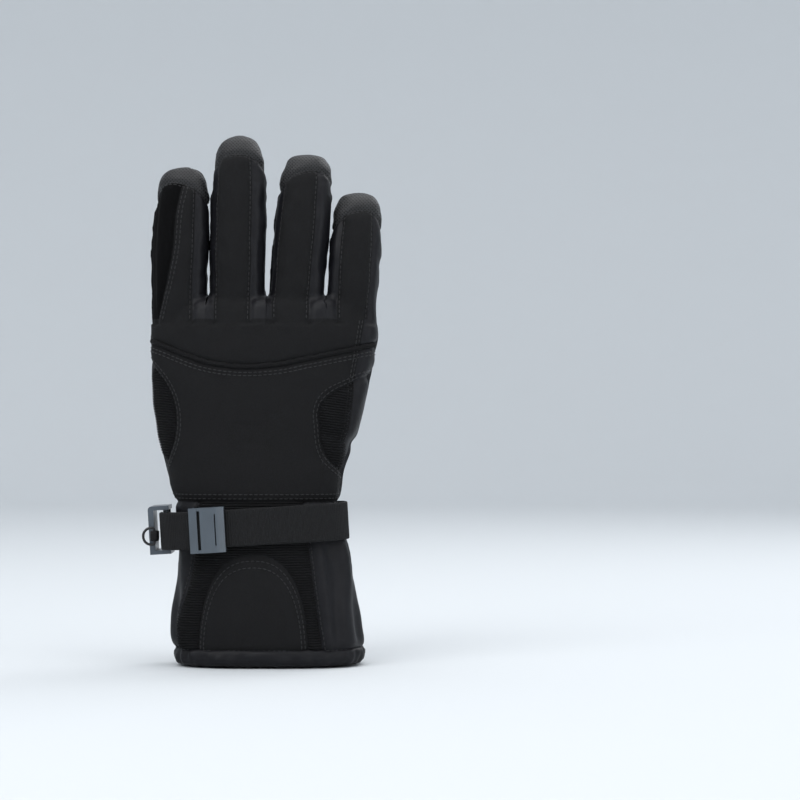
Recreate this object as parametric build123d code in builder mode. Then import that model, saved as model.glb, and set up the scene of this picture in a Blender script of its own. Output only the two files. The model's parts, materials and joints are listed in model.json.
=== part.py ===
"""A right-hand insulated ski glove, standing on its cuff with the fingers up.

+Z runs from the cuff to the fingertips, the back of the hand faces -Y, the palm
faces +Y and the thumb side is -X.  The origin is the bottom centre of the whole
glove.  All sizes are in millimetres.
"""
import os
from math import cos, radians, sin, tan

from build123d import *

# ---------------------------------------------------------------- wall layers
shell_wall = 0.9
insulation_wall = 3.2
lining_wall = 0.9
layer_gap = 0.12          # room between two layers of the wall
joint_gap = 0.35          # room between two pieces that move past each other

# -------------------------------------------------------------- hand and cuff
hand_y = -8.0             # the plane half way between back and palm
hem_height = 8.0
wrist_height = 87.5       # where the cuff is sewn to the hand
root_height = 196.0       # where the fingers start
mouth_width = 103.8
mouth_depth = 58.0
wrist_width = 89.5
wrist_depth = 47.0
palm_depth = 40.0
knuckle_depth = 30.0
knuckle_tuck = 2.9        # the hand is narrower than its four fingers by this
web_wall = 1.2
hem_fold = 0.8            # how far the hem stands out past the shell
corner_share = 0.46       # corner radius of a section, as a share of its depth
piping_width = 2.0
piping_rise = 1.4
elastic_width = 17.0
elastic_thick = 0.8
elastic_middle = 76.0

# -------------------------------------------------------------------- fingers
finger_gap = 0.8
finger_bend = 45.0        # degrees that a finger folds towards the palm
fold_spare = 1.0          # degrees that the fold notch is wider than the bend
finger_curl = 8.0         # how far a resting fingertip leans to the palm
hinge_lift = 3.0          # the fold line lies this far behind the mid plane
seam_offset = 5.0         # finger seams, from the middle of the finger
cap_back = 6.0            # lower edge of the tip cap, below the tip, on the back
cap_palm = 29.0           # the same on the palm
fingers_left = -61.4
finger_sizes = {          # width, depth, length, lean to the little-finger side
    "index": (31.0, 27.0, 73.0, 1.2),
    "middle": (31.0, 27.5, 89.0, 1.2),
    "ring": (31.3, 27.0, 80.0, 5.8),
    "little": (28.6, 24.0, 58.0, 4.4),
}
finger_form = ((0.0, 1.0), (0.35, 1.0), (0.7, 0.97), (0.87, 0.86), (0.96, 0.62), (1.0, 0.32))

# ---------------------------------------------------------------------- thumb
thumb_x = -20.5           # the swing axis of the thumb runs along Y through here
thumb_z = 112.0
thumb_width = 38.5
thumb_depth = 26.0
thumb_bottom = 93.5
thumb_length = 101.0
thumb_lean = -19.0        # how far the tip lies to the index side of the axis
thumb_clear = 0.8
thumb_hole = 10.0         # radius of the opening from the palm into the thumb
collar_wall = 1.2
thumb_form = (            # share of the length, of the lean, of width and depth
    (0.0, 0.0, 0.26),
    (0.025, 0.0, 0.55),
    (0.085, 0.0, 0.86),
    (0.185, 0.0, 1.0),
    (0.33, 0.26, 1.03),
    (0.47, 0.46, 1.05),
    (0.62, 0.62, 1.03),
    (0.77, 0.71, 0.95),
    (0.875, 0.82, 0.78),
    (0.945, 0.92, 0.52),
    (1.0, 1.0, 0.22),
)

# ------------------------------------------------------- strap and its hardware
strap_width = 20.0
strap_thick = 1.5
strap_wrap = 62          # degrees that the strap turns round the little-finger side
strap_tilt = 3.4          # degrees that the strap rises to the little-finger side
strap_middle = 75.0       # height of the middle of the strap above the hem
strap_corner = 20.0       # bend of the strap round the wrist, at mid thickness
strap_clear = 0.4
slide_gap = 0.2
adjuster_left = -37.5
adjuster_length = 18.8
adjuster_height = 24.0
adjuster_drop = -0.2
adjuster_wall_width = 1.6
adjuster_bar = 4.3
adjuster_slot = 1.6
adjuster_slit = 0.6
adjuster_slit_place = 13.6
adjuster_plate = 2.2
adjuster_crown = 1.2
adjuster_floor = 1.0
adjuster_floor_width = 4.3
buckle_out = -61.0        # outer face of the side buckle
buckle_plate = 3.0
buckle_front = -10.0      # from the mid plane
buckle_back = 12.0
buckle_height = 26.0
buckle_rise = 0.4
cheek_wall = 2.2
bar_radius = 1.5
bar_gap = 0.25
bar_front = -6.0          # from the mid plane
bar_back = 7.0
anchor_width = 16.0
anchor_end_x = -44.2      # where the buckle's anchor is sewn to the cuff
anchor_end_y = 17.0
anchor_lap = 3.0
ring_wire = 1.4
ring_height = 10.4
ring_reach = 7.3
ring_corner = 0.95
ring_round = 0.15          # straight wire left at the ring's nose
ring_x = -57.9
ring_front = -14.0        # from the mid plane
ring_drop = -2.4
ring_tab_height = 5.0
ring_tab_wall = 1.1
ring_tab_length = 9.0

os.makedirs("parts", exist_ok=True)
BACK = 1
PALM = -1
THROUGH = 0
REACH = 90.0
TOP = 310.0
mid_plane = Plane.XZ.offset(-hand_y)
insulation_out = shell_wall + layer_gap
insulation_in = insulation_out + insulation_wall
lining_out = insulation_in + layer_gap
lining_in = lining_out + lining_wall
top_height = root_height - web_wall - layer_gap
knuckle_width = sum(size[0] for size in finger_sizes.values()) + 3 * finger_gap - knuckle_tuck
knuckle_x = fingers_left + (knuckle_width + knuckle_tuck) / 2

stations = (              # height, centre in x, width, depth of the hand and cuff
    (0.0, 3.0, mouth_width - 5.0, mouth_depth - 4.0),
    (7.0, 3.7, mouth_width, mouth_depth),
    (30.0, 1.5, mouth_width - 5.0, mouth_depth - 2.0),
    (65.0, -0.2, wrist_width + 0.6, wrist_depth + 3.0),
    (wrist_height, -2.4, wrist_width, wrist_depth),
    (107.0, -4.0, wrist_width + 6.3, (wrist_depth + palm_depth) / 2),
    (125.0, -2.9, knuckle_width - 14.9, palm_depth + 1.0),
    (147.0, -1.2, knuckle_width - 6.0, palm_depth),
    (170.0, -0.1, knuckle_width - 2.2, palm_depth - 4.0),
    (root_height, knuckle_x, knuckle_width, knuckle_depth),
)


def size_at(height):
    """The centre, width and depth of the hand and cuff at a height."""
    for low, high in zip(stations, stations[1:]):
        if height <= high[0]:
            share = (height - low[0]) / (high[0] - low[0])
            return [a + (b - a) * share for a, b in zip(low[1:], high[1:])]
    return stations[-1][1:]


def save(builder, name):
    """Labels a finished piece and writes it under its own name."""
    builder.part.label = name
    export_step(builder.part, f"parts/{name}.step")


# --------------------------------------------------------------- hand and cuff
def trunk(inset, mode=Mode.ADD):
    """Adds or cuts the form of the hand and cuff, its surface moved in by inset."""
    faces = []
    for height, centre, width, depth in stations:
        with BuildSketch(Plane.XY.offset(height)) as section:
            with Locations((centre, hand_y)):
                RectangleRounded(width - 2 * inset, depth - 2 * inset, depth * corner_share - inset)
        faces.append(section.sketch)
    loft(faces, mode=mode)


def slab(low, high, mode=Mode.INTERSECT):
    """Keeps or cuts what lies between two heights."""
    with BuildSketch(Plane.XY.offset(low)) as section:
        Rectangle(3 * REACH, 3 * REACH)
    extrude(section.sketch, amount=high - low, mode=mode)


def region(outlines, side, mode=Mode.INTERSECT):
    """Keeps or cuts what lies within curves closed by corners (x, z), on one side or through."""
    with BuildSketch(mid_plane) as section:
        for curve, corners in outlines:
            with BuildLine() as outline:
                edge = Spline(*curve) if len(curve) > 2 else Line(*curve)
                Polyline(edge @ 1, *corners, edge @ 0)
            make_face(outline.edges())
    if side == THROUGH:
        extrude(section.sketch, amount=REACH, both=True, mode=mode)
    else:
        extrude(section.sketch, amount=side * REACH, mode=mode)


def half(side, mode=Mode.INTERSECT):
    """Keeps or cuts the back half or the palm half."""
    region([(((-REACH, -5.0), (REACH, -5.0)), ((REACH, TOP), (-REACH, TOP)))], side, mode)


def raised(outline, rise):
    """An outline with its curve moved up, its corners kept."""
    curve, corners = outline
    return [(x, z + rise) for x, z in curve], corners


def thumb_opening(radius, low_y, high_y, mode=Mode.SUBTRACT):
    """Cuts or adds a round bar along the thumb's swing axis."""
    with BuildSketch(Plane.XZ.offset(-low_y)) as section:
        with Locations((thumb_x, thumb_z)):
            Circle(radius)
    extrude(section.sketch, amount=low_y - high_y, mode=mode)


def hand(layer):
    """Starts a piece from the hand's share of a layer."""
    add(layer.part)
    slab(wrist_height, top_height)


def cuff(layer):
    """Starts a piece from the cuff's share of a layer."""
    add(layer.part)
    slab(hem_height, wrist_height)


with BuildPart() as trunk_shell:
    trunk(0.0)
    trunk(shell_wall, Mode.SUBTRACT)
with BuildPart() as trunk_insulation:
    trunk(insulation_out)
    trunk(insulation_in, Mode.SUBTRACT)
with BuildPart() as trunk_lining:
    trunk(lining_out)
    trunk(lining_in, Mode.SUBTRACT)

# Seams of the hand and cuff: a curve (x, z), then the corners that close it.
below = ((REACH, -5.0), (-REACH, -5.0))
under_piping = (
    ((-70.0, 178.0), (-56.4, 172.8), (-28.9, 162.6), (5.9, 161.0), (26.0, 164.8), (70.0, 174.0)),
    ((REACH, 174.0), *below, (-REACH, 178.0)),
)
left_gusset = (
    ((-64.0, 164.5), (-49.8, 146.0), (-46.5, 130.0), (-51.9, 109.7), (-62.0, 98.0)),
    ((-REACH, 98.0), (-REACH, 164.5)),
)
right_gusset = (
    ((56.0, 154.0), (40.7, 147.0), (32.1, 125.0), (35.6, 112.0), (52.0, 96.0)),
    ((REACH, 96.0), (REACH, 154.0)),
)
back_side_seam = ((59.0, 205.0), (53.5, 169.6), (50.6, 152.0), (45.0, 112.0), (43.0, 80.0))
back_side = (back_side_seam, ((REACH, 80.0), (REACH, 205.0)))
back_main = (back_side_seam, ((-REACH, 80.0), (-REACH, 205.0)))
palm_side_seam = ((57.7, 210.0), (54.0, 168.5), (50.0, 125.0), (42.0, 92.0), (39.0, 80.0))
palm_side = (palm_side_seam, ((REACH, 80.0), (REACH, 210.0)))
palm_main = (palm_side_seam, ((-REACH, 80.0), (-REACH, 210.0)))
under_grip_top = (
    ((-70.0, 184.0), (-26.2, 187.8), (5.9, 185.0), (35.8, 175.0), (70.0, 160.0)),
    ((REACH, 160.0), *below, (-REACH, 184.0)),
)
inner_grip = (
    ((-70.0, 168.0), (-11.8, 163.7), (12.8, 149.3), (24.6, 119.3), (22.4, 80.0)),
    ((22.4, -5.0), (-REACH, -5.0), (-REACH, 168.0)),
)
rib_area = (
    ((-48.0, 0.0), (-36.0, 66.0), (-33.0, 95.0)),
    ((22.0, 95.0), (25.5, 66.0), (34.5, 0.0)),
)
centre_area = (
    ((-34.2, 0.0), (-29.4, 41.7), (-20.9, 56.7), (-4.3, 60.0), (12.3, 54.0), (21.7, 27.8), (26.0, 0.0)),
    (),
)
cuff_palm_area = (
    ((-34.0, 0.0), (-27.8, 48.7), (-19.3, 90.0)),
    ((17.6, 90.0), (21.1, 52.4), (32.8, 0.0)),
)

# Hand shell.
palm_hole = thumb_hole + collar_wall + layer_gap
with BuildPart() as knuckle_panel:
    hand(trunk_shell)
    half(BACK)
    region([under_piping, back_side], BACK, Mode.SUBTRACT)
save(knuckle_panel, "knuckle_panel")

with BuildPart() as lower_back_panel:
    hand(trunk_shell)
    region([under_piping], BACK)
    region([left_gusset, right_gusset, back_side], BACK, Mode.SUBTRACT)
save(lower_back_panel, "lower_back_panel")

with BuildPart() as rib_gussets:
    hand(trunk_shell)
    region([left_gusset, right_gusset], BACK)
    region([back_side], BACK, Mode.SUBTRACT)
save(rib_gussets, "rib_gussets")

with BuildPart() as knuckle_piping:
    trunk(-piping_rise)
    trunk(0.0, Mode.SUBTRACT)
    slab(wrist_height, top_height)
    region([raised(under_piping, piping_width / 2)], BACK)
    region([raised(under_piping, -piping_width / 2), back_side], BACK, Mode.SUBTRACT)
save(knuckle_piping, "knuckle_piping")

with BuildPart() as outer_side_panel:
    hand(trunk_shell)
    region([back_main], BACK, Mode.SUBTRACT)
    region([palm_main], PALM, Mode.SUBTRACT)
save(outer_side_panel, "outer_side_panel")

with BuildPart() as palm_panel:
    hand(trunk_shell)
    half(PALM)
    region([under_grip_top], PALM, Mode.SUBTRACT)
    region([palm_side], PALM, Mode.SUBTRACT)
save(palm_panel, "palm_panel")

with BuildPart() as palm_grip_panel:
    hand(trunk_shell)
    region([under_grip_top], PALM)
    region([inner_grip], PALM, Mode.SUBTRACT)
    region([palm_side], PALM, Mode.SUBTRACT)
save(palm_grip_panel, "palm_grip_panel")

with BuildPart() as thumb_base_panel:
    hand(trunk_shell)
    region([inner_grip], PALM)
    thumb_opening(palm_hole, hand_y, REACH)
save(thumb_base_panel, "thumb_base_panel")

with BuildPart() as finger_web:
    trunk(0.0)
    slab(root_height - web_wall, root_height)
    with BuildSketch(Plane.XY.offset(root_height - web_wall)) as web_holes:
        left = fingers_left
        for width, depth, length, lean in finger_sizes.values():
            with Locations((left + width / 2, hand_y)):
                Ellipse(width / 2 - lining_in, depth / 2 - lining_in)
            left += width + finger_gap
    extrude(web_holes.sketch, amount=web_wall, mode=Mode.SUBTRACT)
save(finger_web, "finger_web")

# Padding and lining of the hand.
for name, layer in (("hand_insulation", trunk_insulation), ("hand_lining", trunk_lining)):
    with BuildPart() as hand_layer:
        hand(layer)
        thumb_opening(palm_hole, hand_y, REACH)
    save(hand_layer, name)

# Cuff.
with BuildPart() as hem_binding:
    trunk(-hem_fold)
    trunk(lining_in + hem_fold / 2, Mode.SUBTRACT)
    slab(0.0, hem_height - layer_gap)
save(hem_binding, "hem_binding")

with BuildPart() as cuff_rib_panel:
    cuff(trunk_shell)
    region([rib_area], BACK)
    region([centre_area], BACK, Mode.SUBTRACT)
save(cuff_rib_panel, "cuff_rib_panel")

with BuildPart() as cuff_centre_panel:
    cuff(trunk_shell)
    region([centre_area], BACK)
save(cuff_centre_panel, "cuff_centre_panel")

with BuildPart() as cuff_side_panels:
    cuff(trunk_shell)
    region([rib_area], BACK, Mode.SUBTRACT)
    region([cuff_palm_area], PALM, Mode.SUBTRACT)
save(cuff_side_panels, "cuff_side_panels")

with BuildPart() as cuff_palm_panel:
    cuff(trunk_shell)
    region([cuff_palm_area], PALM)
save(cuff_palm_panel, "cuff_palm_panel")

with BuildPart() as elastic_pocket:
    trunk(insulation_out)
    trunk(insulation_out + elastic_thick + layer_gap, Mode.SUBTRACT)
    slab(elastic_middle - elastic_width / 2 - layer_gap, elastic_middle + elastic_width / 2 + layer_gap)
    half(PALM)

with BuildPart() as wrist_elastic:
    trunk(insulation_out)
    trunk(insulation_out + elastic_thick, Mode.SUBTRACT)
    slab(elastic_middle - elastic_width / 2, elastic_middle + elastic_width / 2)
    half(PALM)
save(wrist_elastic, "wrist_elastic")

with BuildPart() as cuff_insulation:
    cuff(trunk_insulation)
    add(elastic_pocket.part, mode=Mode.SUBTRACT)
save(cuff_insulation, "cuff_insulation")

with BuildPart() as cuff_lining:
    cuff(trunk_lining)
save(cuff_lining, "cuff_lining")


# --------------------------------------------------------------------- fingers
def finger(name, inset, mode=Mode.ADD):
    """Adds or cuts the form of a finger, its surface moved in by inset."""
    width, depth, length, lean = finger_sizes[name]
    low = root_height + joint_gap
    faces = []
    for share, fullness in finger_form:
        rise = share * (length - joint_gap - inset)
        reach = rise / length
        with BuildSketch(Plane.XY.offset(low + rise)) as section:
            with Locations((finger_x[name] + lean * reach, hand_y + finger_curl * reach**2)):
                Ellipse(fullness * (width / 2 - inset), fullness * (depth / 2 - inset))
        faces.append(section.sketch)
    loft(faces, ruled=True, mode=mode)


def side_cut(name, outline, mode):
    """Keeps or cuts a closed side view (y, z) of a finger, right across it."""
    with BuildSketch(Plane.YZ.offset(finger_x[name])) as section:
        with BuildLine() as edges:
            Polyline(*outline, close=True)
        make_face(edges.edges())
    extrude(section.sketch, amount=REACH, both=True, mode=mode)


def seam_side(name, offset, side, mode):
    """Keeps or cuts what lies behind (BACK) or in front of (PALM) a seam along a finger."""
    length = finger_sizes[name][2]
    shares = (-0.2, 0.0, 0.25, 0.5, 0.75, 1.0, 1.2)
    seam = [(hand_y + offset + finger_curl * max(s, 0.0) ** 2, root_height + length * s) for s in shares]
    outer_y = hand_y - side * REACH
    side_cut(name, [*seam, (outer_y, seam[-1][1]), (outer_y, seam[0][1])], mode)


def tip_area(name, mode):
    """Keeps or cuts the fingertip above the slanting edge of its cap."""
    width, depth, length, lean = finger_sizes[name]
    tip = root_height + length
    slope = (cap_back - cap_palm) / (depth + finger_curl)
    middle = tip - cap_back + slope * (depth / 2)
    line = [(y, middle + slope * (y - hand_y)) for y in (hand_y - REACH / 2, hand_y + REACH / 2)]
    side_cut(name, [*line, (hand_y + REACH / 2, TOP), (hand_y - REACH / 2, TOP)], mode)


def fold_notch(name, shift, mode):
    """Keeps or cuts the wedge on the palm side that the folding finger needs."""
    apex = hand_y - hinge_lift + shift
    reach = REACH / 2
    rise = reach * tan(radians(finger_bend + fold_spare))
    far = apex + reach
    side_cut(name, [(apex, root_height), (far, root_height), (far, root_height + rise)], mode)


finger_x = {}
finger_left = fingers_left
for name, size in finger_sizes.items():
    finger_x[name] = finger_left + size[0] / 2
    finger_left += size[0] + finger_gap
suede_area = (
    ((-56.0, 190.0), (-48.2, 223.0), (-46.2, 245.6), (-42.8, 262.0), (-41.0, 280.0)),
    ((-REACH, 280.0), (-REACH, 190.0)),
)
creases = []
for name in finger_sizes:
    with BuildPart() as finger_shell:
        finger(name, 0.0)
        finger(name, shell_wall, Mode.SUBTRACT)
        fold_notch(name, -joint_gap, Mode.SUBTRACT)
    with BuildPart() as finger_back:
        add(finger_shell.part)
        seam_side(name, -seam_offset, BACK, Mode.INTERSECT)
        tip_area(name, Mode.SUBTRACT)
        if name == "index":
            region([suede_area], THROUGH, Mode.SUBTRACT)
    save(finger_back, f"{name}_back")
    with BuildPart() as finger_sides:
        add(finger_shell.part)
        seam_side(name, -seam_offset, BACK, Mode.SUBTRACT)
        seam_side(name, seam_offset, PALM, Mode.SUBTRACT)
        tip_area(name, Mode.SUBTRACT)
        if name == "index":
            region([suede_area], THROUGH, Mode.SUBTRACT)
    save(finger_sides, f"{name}_sides")
    with BuildPart() as finger_palm:
        add(finger_shell.part)
        seam_side(name, seam_offset, PALM, Mode.INTERSECT)
        tip_area(name, Mode.SUBTRACT)
    save(finger_palm, f"{name}_palm")
    with BuildPart() as finger_cap:
        add(finger_shell.part)
        tip_area(name, Mode.INTERSECT)
        if name == "index":
            region([suede_area], THROUGH, Mode.SUBTRACT)
    save(finger_cap, f"{name}_tip_cap")
    if name == "index":
        with BuildPart() as suede_panel:
            add(finger_shell.part)
            region([suede_area], THROUGH)
            seam_side(name, seam_offset, PALM, Mode.SUBTRACT)
        save(suede_panel, "index_suede_panel")
    with BuildPart() as finger_padding:
        finger(name, insulation_out)
        finger(name, insulation_in, Mode.SUBTRACT)
        fold_notch(name, -joint_gap, Mode.SUBTRACT)
    save(finger_padding, f"{name}_insulation")
    with BuildPart() as finger_lining:
        finger(name, lining_out)
        finger(name, lining_in, Mode.SUBTRACT)
        fold_notch(name, -joint_gap, Mode.SUBTRACT)
    save(finger_lining, f"{name}_lining")
    with BuildPart() as crease:
        finger(name, 0.0)
        finger(name, lining_in, Mode.SUBTRACT)
        fold_notch(name, joint_gap, Mode.INTERSECT)
    creases.append(crease.part)

with BuildPart() as finger_creases:
    for crease_part in creases:
        add(crease_part)
save(finger_creases, "finger_creases")

# ----------------------------------------------------------------------- thumb
thumb_y = hand_y + size_at(thumb_z)[2] / 2 + thumb_clear + thumb_depth / 2


def thumb(inset, mode=Mode.ADD):
    """Adds or cuts the form of the thumb, its surface moved in by inset."""
    faces = []
    for share, lean, fullness in thumb_form:
        height = thumb_bottom + inset + share * (thumb_length - 2 * inset)
        half_width = fullness * (thumb_width / 2 - inset)
        half_depth = min(fullness, 1.0) * (thumb_depth / 2 - inset)
        with BuildSketch(Plane.XY.offset(height)) as section:
            with Locations((thumb_x + lean * thumb_lean, thumb_y)):
                Ellipse(half_width, half_depth)
        faces.append(section.sketch)
    loft(faces, mode=mode)


def thumb_front(mode):
    """Keeps or cuts the half of the thumb that faces away from the palm."""
    with BuildSketch(Plane.XZ.offset(-thumb_y)) as section:
        with Locations((0.0, thumb_z)):
            Rectangle(3 * REACH, 3 * REACH)
    extrude(section.sketch, amount=-REACH, mode=mode)


turning_hole = thumb_hole + collar_wall + joint_gap
patch_area = (
    ((-80.0, 122.0), (-45.8, 139.1), (-19.8, 156.2), (0.0, 171.0)),
    ((0.0, TOP), (-80.0, TOP)),
)
gusset_area = (
    ((-22.0, 200.0), (-19.8, 178.0), (-19.8, 155.0), (-19.3, 127.0), (-17.0, 80.0)),
    ((REACH, 80.0), (REACH, 200.0)),
)
with BuildPart() as thumb_shell:
    thumb(0.0)
    thumb(shell_wall, Mode.SUBTRACT)

with BuildPart() as thumb_patch:
    add(thumb_shell.part)
    thumb_front(Mode.INTERSECT)
    region([patch_area], PALM)
    region([gusset_area], PALM, Mode.SUBTRACT)
save(thumb_patch, "thumb_patch")

with BuildPart() as thumb_front_panel:
    add(thumb_shell.part)
    thumb_front(Mode.INTERSECT)
    region([patch_area], PALM, Mode.SUBTRACT)
    region([gusset_area], PALM, Mode.SUBTRACT)
save(thumb_front_panel, "thumb_front_panel")

with BuildPart() as thumb_gusset:
    add(thumb_shell.part)
    thumb_front(Mode.INTERSECT)
    region([gusset_area], PALM)
save(thumb_gusset, "thumb_gusset")

with BuildPart() as thumb_back_panel:
    add(thumb_shell.part)
    thumb_front(Mode.SUBTRACT)
    thumb_opening(turning_hole, hand_y, thumb_y)
save(thumb_back_panel, "thumb_back_panel")

for name, outer, inner in (
    ("thumb_insulation", insulation_out, insulation_in),
    ("thumb_lining", lining_out, lining_in),
):
    with BuildPart() as thumb_layer:
        thumb(outer)
        thumb(inner, Mode.SUBTRACT)
        thumb_opening(turning_hole, hand_y, thumb_y)
    save(thumb_layer, name)

collar_low = thumb_y - thumb_depth / 2 - thumb_clear - lining_in
collar_high = thumb_y - thumb_depth / 2 + lining_in
with BuildPart() as thumb_collar:
    thumb_opening(thumb_hole + collar_wall, collar_low, collar_high, Mode.ADD)
    thumb_opening(thumb_hole, collar_low, collar_high, Mode.SUBTRACT)
save(thumb_collar, "thumb_collar")

# --------------------------------------------------------- strap and its hardware
tilt = radians(strap_tilt)
strap_plane = Plane(
    origin=(0.0, hand_y, strap_middle),
    x_dir=(cos(tilt), 0.0, sin(tilt)),
    z_dir=(-sin(tilt), 0.0, cos(tilt)),
)
strap_low = strap_middle - strap_width
strap_inner = size_at(strap_low)[2] / 2 + strap_clear + adjuster_floor + slide_gap
strap_front = -(strap_inner + strap_thick / 2)
strap_left = size_at(wrist_height)[0] - size_at(wrist_height)[1] / 2 - strap_clear - strap_thick
strap_right = size_at(65.0)[0] + size_at(65.0)[1] / 2 + strap_clear + strap_thick / 2
bar_x = strap_left - bar_radius - bar_gap - strap_thick / 2
loop_radius = bar_radius + bar_gap + strap_thick / 2
return_left = strap_left - 2 * loop_radius
return_front = strap_front - strap_thick - slide_gap
return_corner = adjuster_left + adjuster_bar - return_left
strap_corner_y = strap_front + strap_corner


def webbing_plane(width):
    """The plane of the lower edge of a band of webbing."""
    return strap_plane.offset(-width / 2)


with BuildPart() as wrist_strap:
    with BuildSketch(webbing_plane(strap_width)):
        with BuildLine():
            CenterArc((strap_right - strap_corner, strap_corner_y), strap_corner, 270, strap_wrap)
            Line((strap_right - strap_corner, strap_front), (strap_left + strap_corner, strap_front))
            CenterArc((strap_left + strap_corner, strap_corner_y), strap_corner, 180, 90)
            Line((strap_left, strap_corner_y), (strap_left, bar_front))
            CenterArc((bar_x, bar_front), loop_radius, 0, 180)
        trace(line_width=strap_thick)
    extrude(amount=strap_width)
save(wrist_strap, "wrist_strap")

return_centre = (return_left + return_corner, return_front + return_corner)
return_end = adjuster_left + adjuster_bar + adjuster_slot / 2
with BuildPart() as strap_return:
    with BuildSketch(webbing_plane(strap_width)):
        with BuildLine():
            Line((return_left, bar_front - layer_gap), (return_left, return_centre[1]))
            CenterArc(return_centre, return_corner, 180, 90)
            Line((return_centre[0], return_front), (return_end, return_front))
        trace(line_width=strap_thick)
    extrude(amount=strap_width)
save(strap_return, "strap_return")

# The adjuster: a plate with a slot and a slit over the strap, and one bar under it.
adjuster_right = adjuster_left + adjuster_length
adjuster_under = return_front - strap_thick / 2 - slide_gap
adjuster_face = adjuster_under - adjuster_plate
bar_face = adjuster_face + adjuster_crown / 2
floor_top = -strap_inner + slide_gap
inside_width = adjuster_height - 2 * adjuster_wall_width
with BuildPart() as strap_adjuster:
    with BuildSketch(strap_plane.offset(adjuster_drop - adjuster_height / 2)):
        with BuildLine():
            bar_end = adjuster_left + adjuster_bar
            face_line = Polyline(
                (adjuster_right, floor_top + adjuster_floor),
                (adjuster_left, floor_top + adjuster_floor),
                (adjuster_left, bar_face),
                (bar_end, bar_face),
            )
            ThreePointArc(
                face_line @ 1,
                ((bar_end + adjuster_right) / 2, adjuster_face - adjuster_crown),
                (adjuster_right, bar_face),
            )
            Line((adjuster_right, bar_face), face_line @ 0)
        make_face()
    extrude(amount=adjuster_height)
    tunnels = (
        (adjuster_left - 1.0, adjuster_right - adjuster_floor_width, floor_top + adjuster_floor + 1.0),
        (adjuster_left - 1.0, adjuster_right + 1.0, floor_top),
    )
    for low_x, high_x, low_y in tunnels:
        with BuildSketch(strap_plane.offset(adjuster_drop - inside_width / 2)):
            with Locations(((low_x + high_x) / 2, (low_y + adjuster_under) / 2)):
                Rectangle(high_x - low_x, low_y - adjuster_under)
        extrude(amount=inside_width, mode=Mode.SUBTRACT)
    openings = (
        (bar_end, adjuster_slot, inside_width),
        (adjuster_left + adjuster_slit_place, adjuster_slit, inside_width - 4.0),
    )
    for low_x, wide, tall in openings:
        with BuildSketch(strap_plane.offset(adjuster_drop - tall / 2)):
            with Locations((low_x + wide / 2, adjuster_face)):
                Rectangle(wide, 4 * adjuster_plate)
        extrude(amount=tall, mode=Mode.SUBTRACT)
save(strap_adjuster, "strap_adjuster")

# The side buckle: an outer plate, two cheeks and two round bars between them.
buckle_middle_y = (buckle_front + buckle_back) / 2
buckle_length = buckle_back - buckle_front
cheek_end = strap_left - strap_thick / 2 + layer_gap
with BuildPart() as side_buckle:
    with BuildSketch(strap_plane.offset(buckle_rise - buckle_height / 2)):
        with Locations(((buckle_out + cheek_end) / 2, buckle_middle_y)):
            Rectangle(cheek_end - buckle_out, buckle_length)
    extrude(amount=buckle_height)
    cheek_room = buckle_height - 2 * cheek_wall
    with BuildSketch(strap_plane.offset(buckle_rise - cheek_room / 2)):
        with Locations((buckle_out + buckle_plate + REACH / 2, buckle_middle_y)):
            Rectangle(REACH, 2 * buckle_length)
    extrude(amount=cheek_room, mode=Mode.SUBTRACT)
    fillet(side_buckle.edges().filter_by(Axis.Y).group_by(Axis.X)[0], cheek_wall - 0.2)
    with BuildSketch(strap_plane.offset(buckle_rise - buckle_height / 2 + cheek_wall / 2)):
        with Locations((bar_x, bar_front), (bar_x, bar_back)):
            Circle(bar_radius)
    extrude(amount=buckle_height - cheek_wall)
save(side_buckle, "side_buckle")

with BuildPart() as buckle_anchor:
    with BuildSketch(webbing_plane(anchor_width)):
        with BuildLine():
            Line((strap_left, bar_back + anchor_lap), (strap_left, bar_back))
            CenterArc((bar_x, bar_back), loop_radius, 0, -180)
            Line((return_left, bar_back), (return_left, bar_back + anchor_lap / 2))
            Line((return_left, bar_back + anchor_lap / 2), (anchor_end_x, anchor_end_y))
        trace(line_width=strap_thick)
    extrude(amount=anchor_width)
save(buckle_anchor, "buckle_anchor")

# The clip ring hangs on a tab inside the side buckle's outer plate.
tab_radius = ring_wire / 2 + slide_gap + ring_tab_wall
with BuildPart() as ring_tab:
    with BuildSketch(strap_plane.offset(ring_drop - ring_tab_height / 2)):
        with Locations((ring_x, ring_front)):
            Circle(tab_radius)
        with Locations((ring_x + tab_radius - ring_tab_wall / 2, ring_front + ring_tab_length / 2)):
            Rectangle(ring_tab_wall, ring_tab_length)
        with Locations((ring_x, ring_front)):
            Circle(ring_wire / 2 + slide_gap, mode=Mode.SUBTRACT)
    extrude(amount=ring_tab_height)
save(ring_tab, "ring_tab")

ring_half = (ring_height - ring_wire) / 2
ring_plane = Plane(
    origin=strap_plane.from_local_coords(Vector(ring_x, ring_front, ring_drop)),
    x_dir=-strap_plane.x_dir,
    z_dir=Vector(0.0, 1.0, 0.0),
)
with BuildPart() as clip_ring:
    with BuildLine(ring_plane) as ring_path:
        FilletPolyline(
            (0.0, ring_half),
            (ring_reach - ring_wire, ring_half),
            (ring_reach - ring_wire, -ring_half),
            (0.0, -ring_half),
            radius=(ring_corner, ring_half - ring_round, ring_half - ring_round, ring_corner),
            close=True,
        )
    with BuildSketch(Plane(origin=ring_path.line @ 0, z_dir=ring_path.line % 0)):
        Circle(ring_wire / 2)
    sweep()
save(clip_ring, "clip_ring")
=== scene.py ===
"""Builds the visible ski glove, its hardware and a pale studio round the packed frame."""

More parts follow.
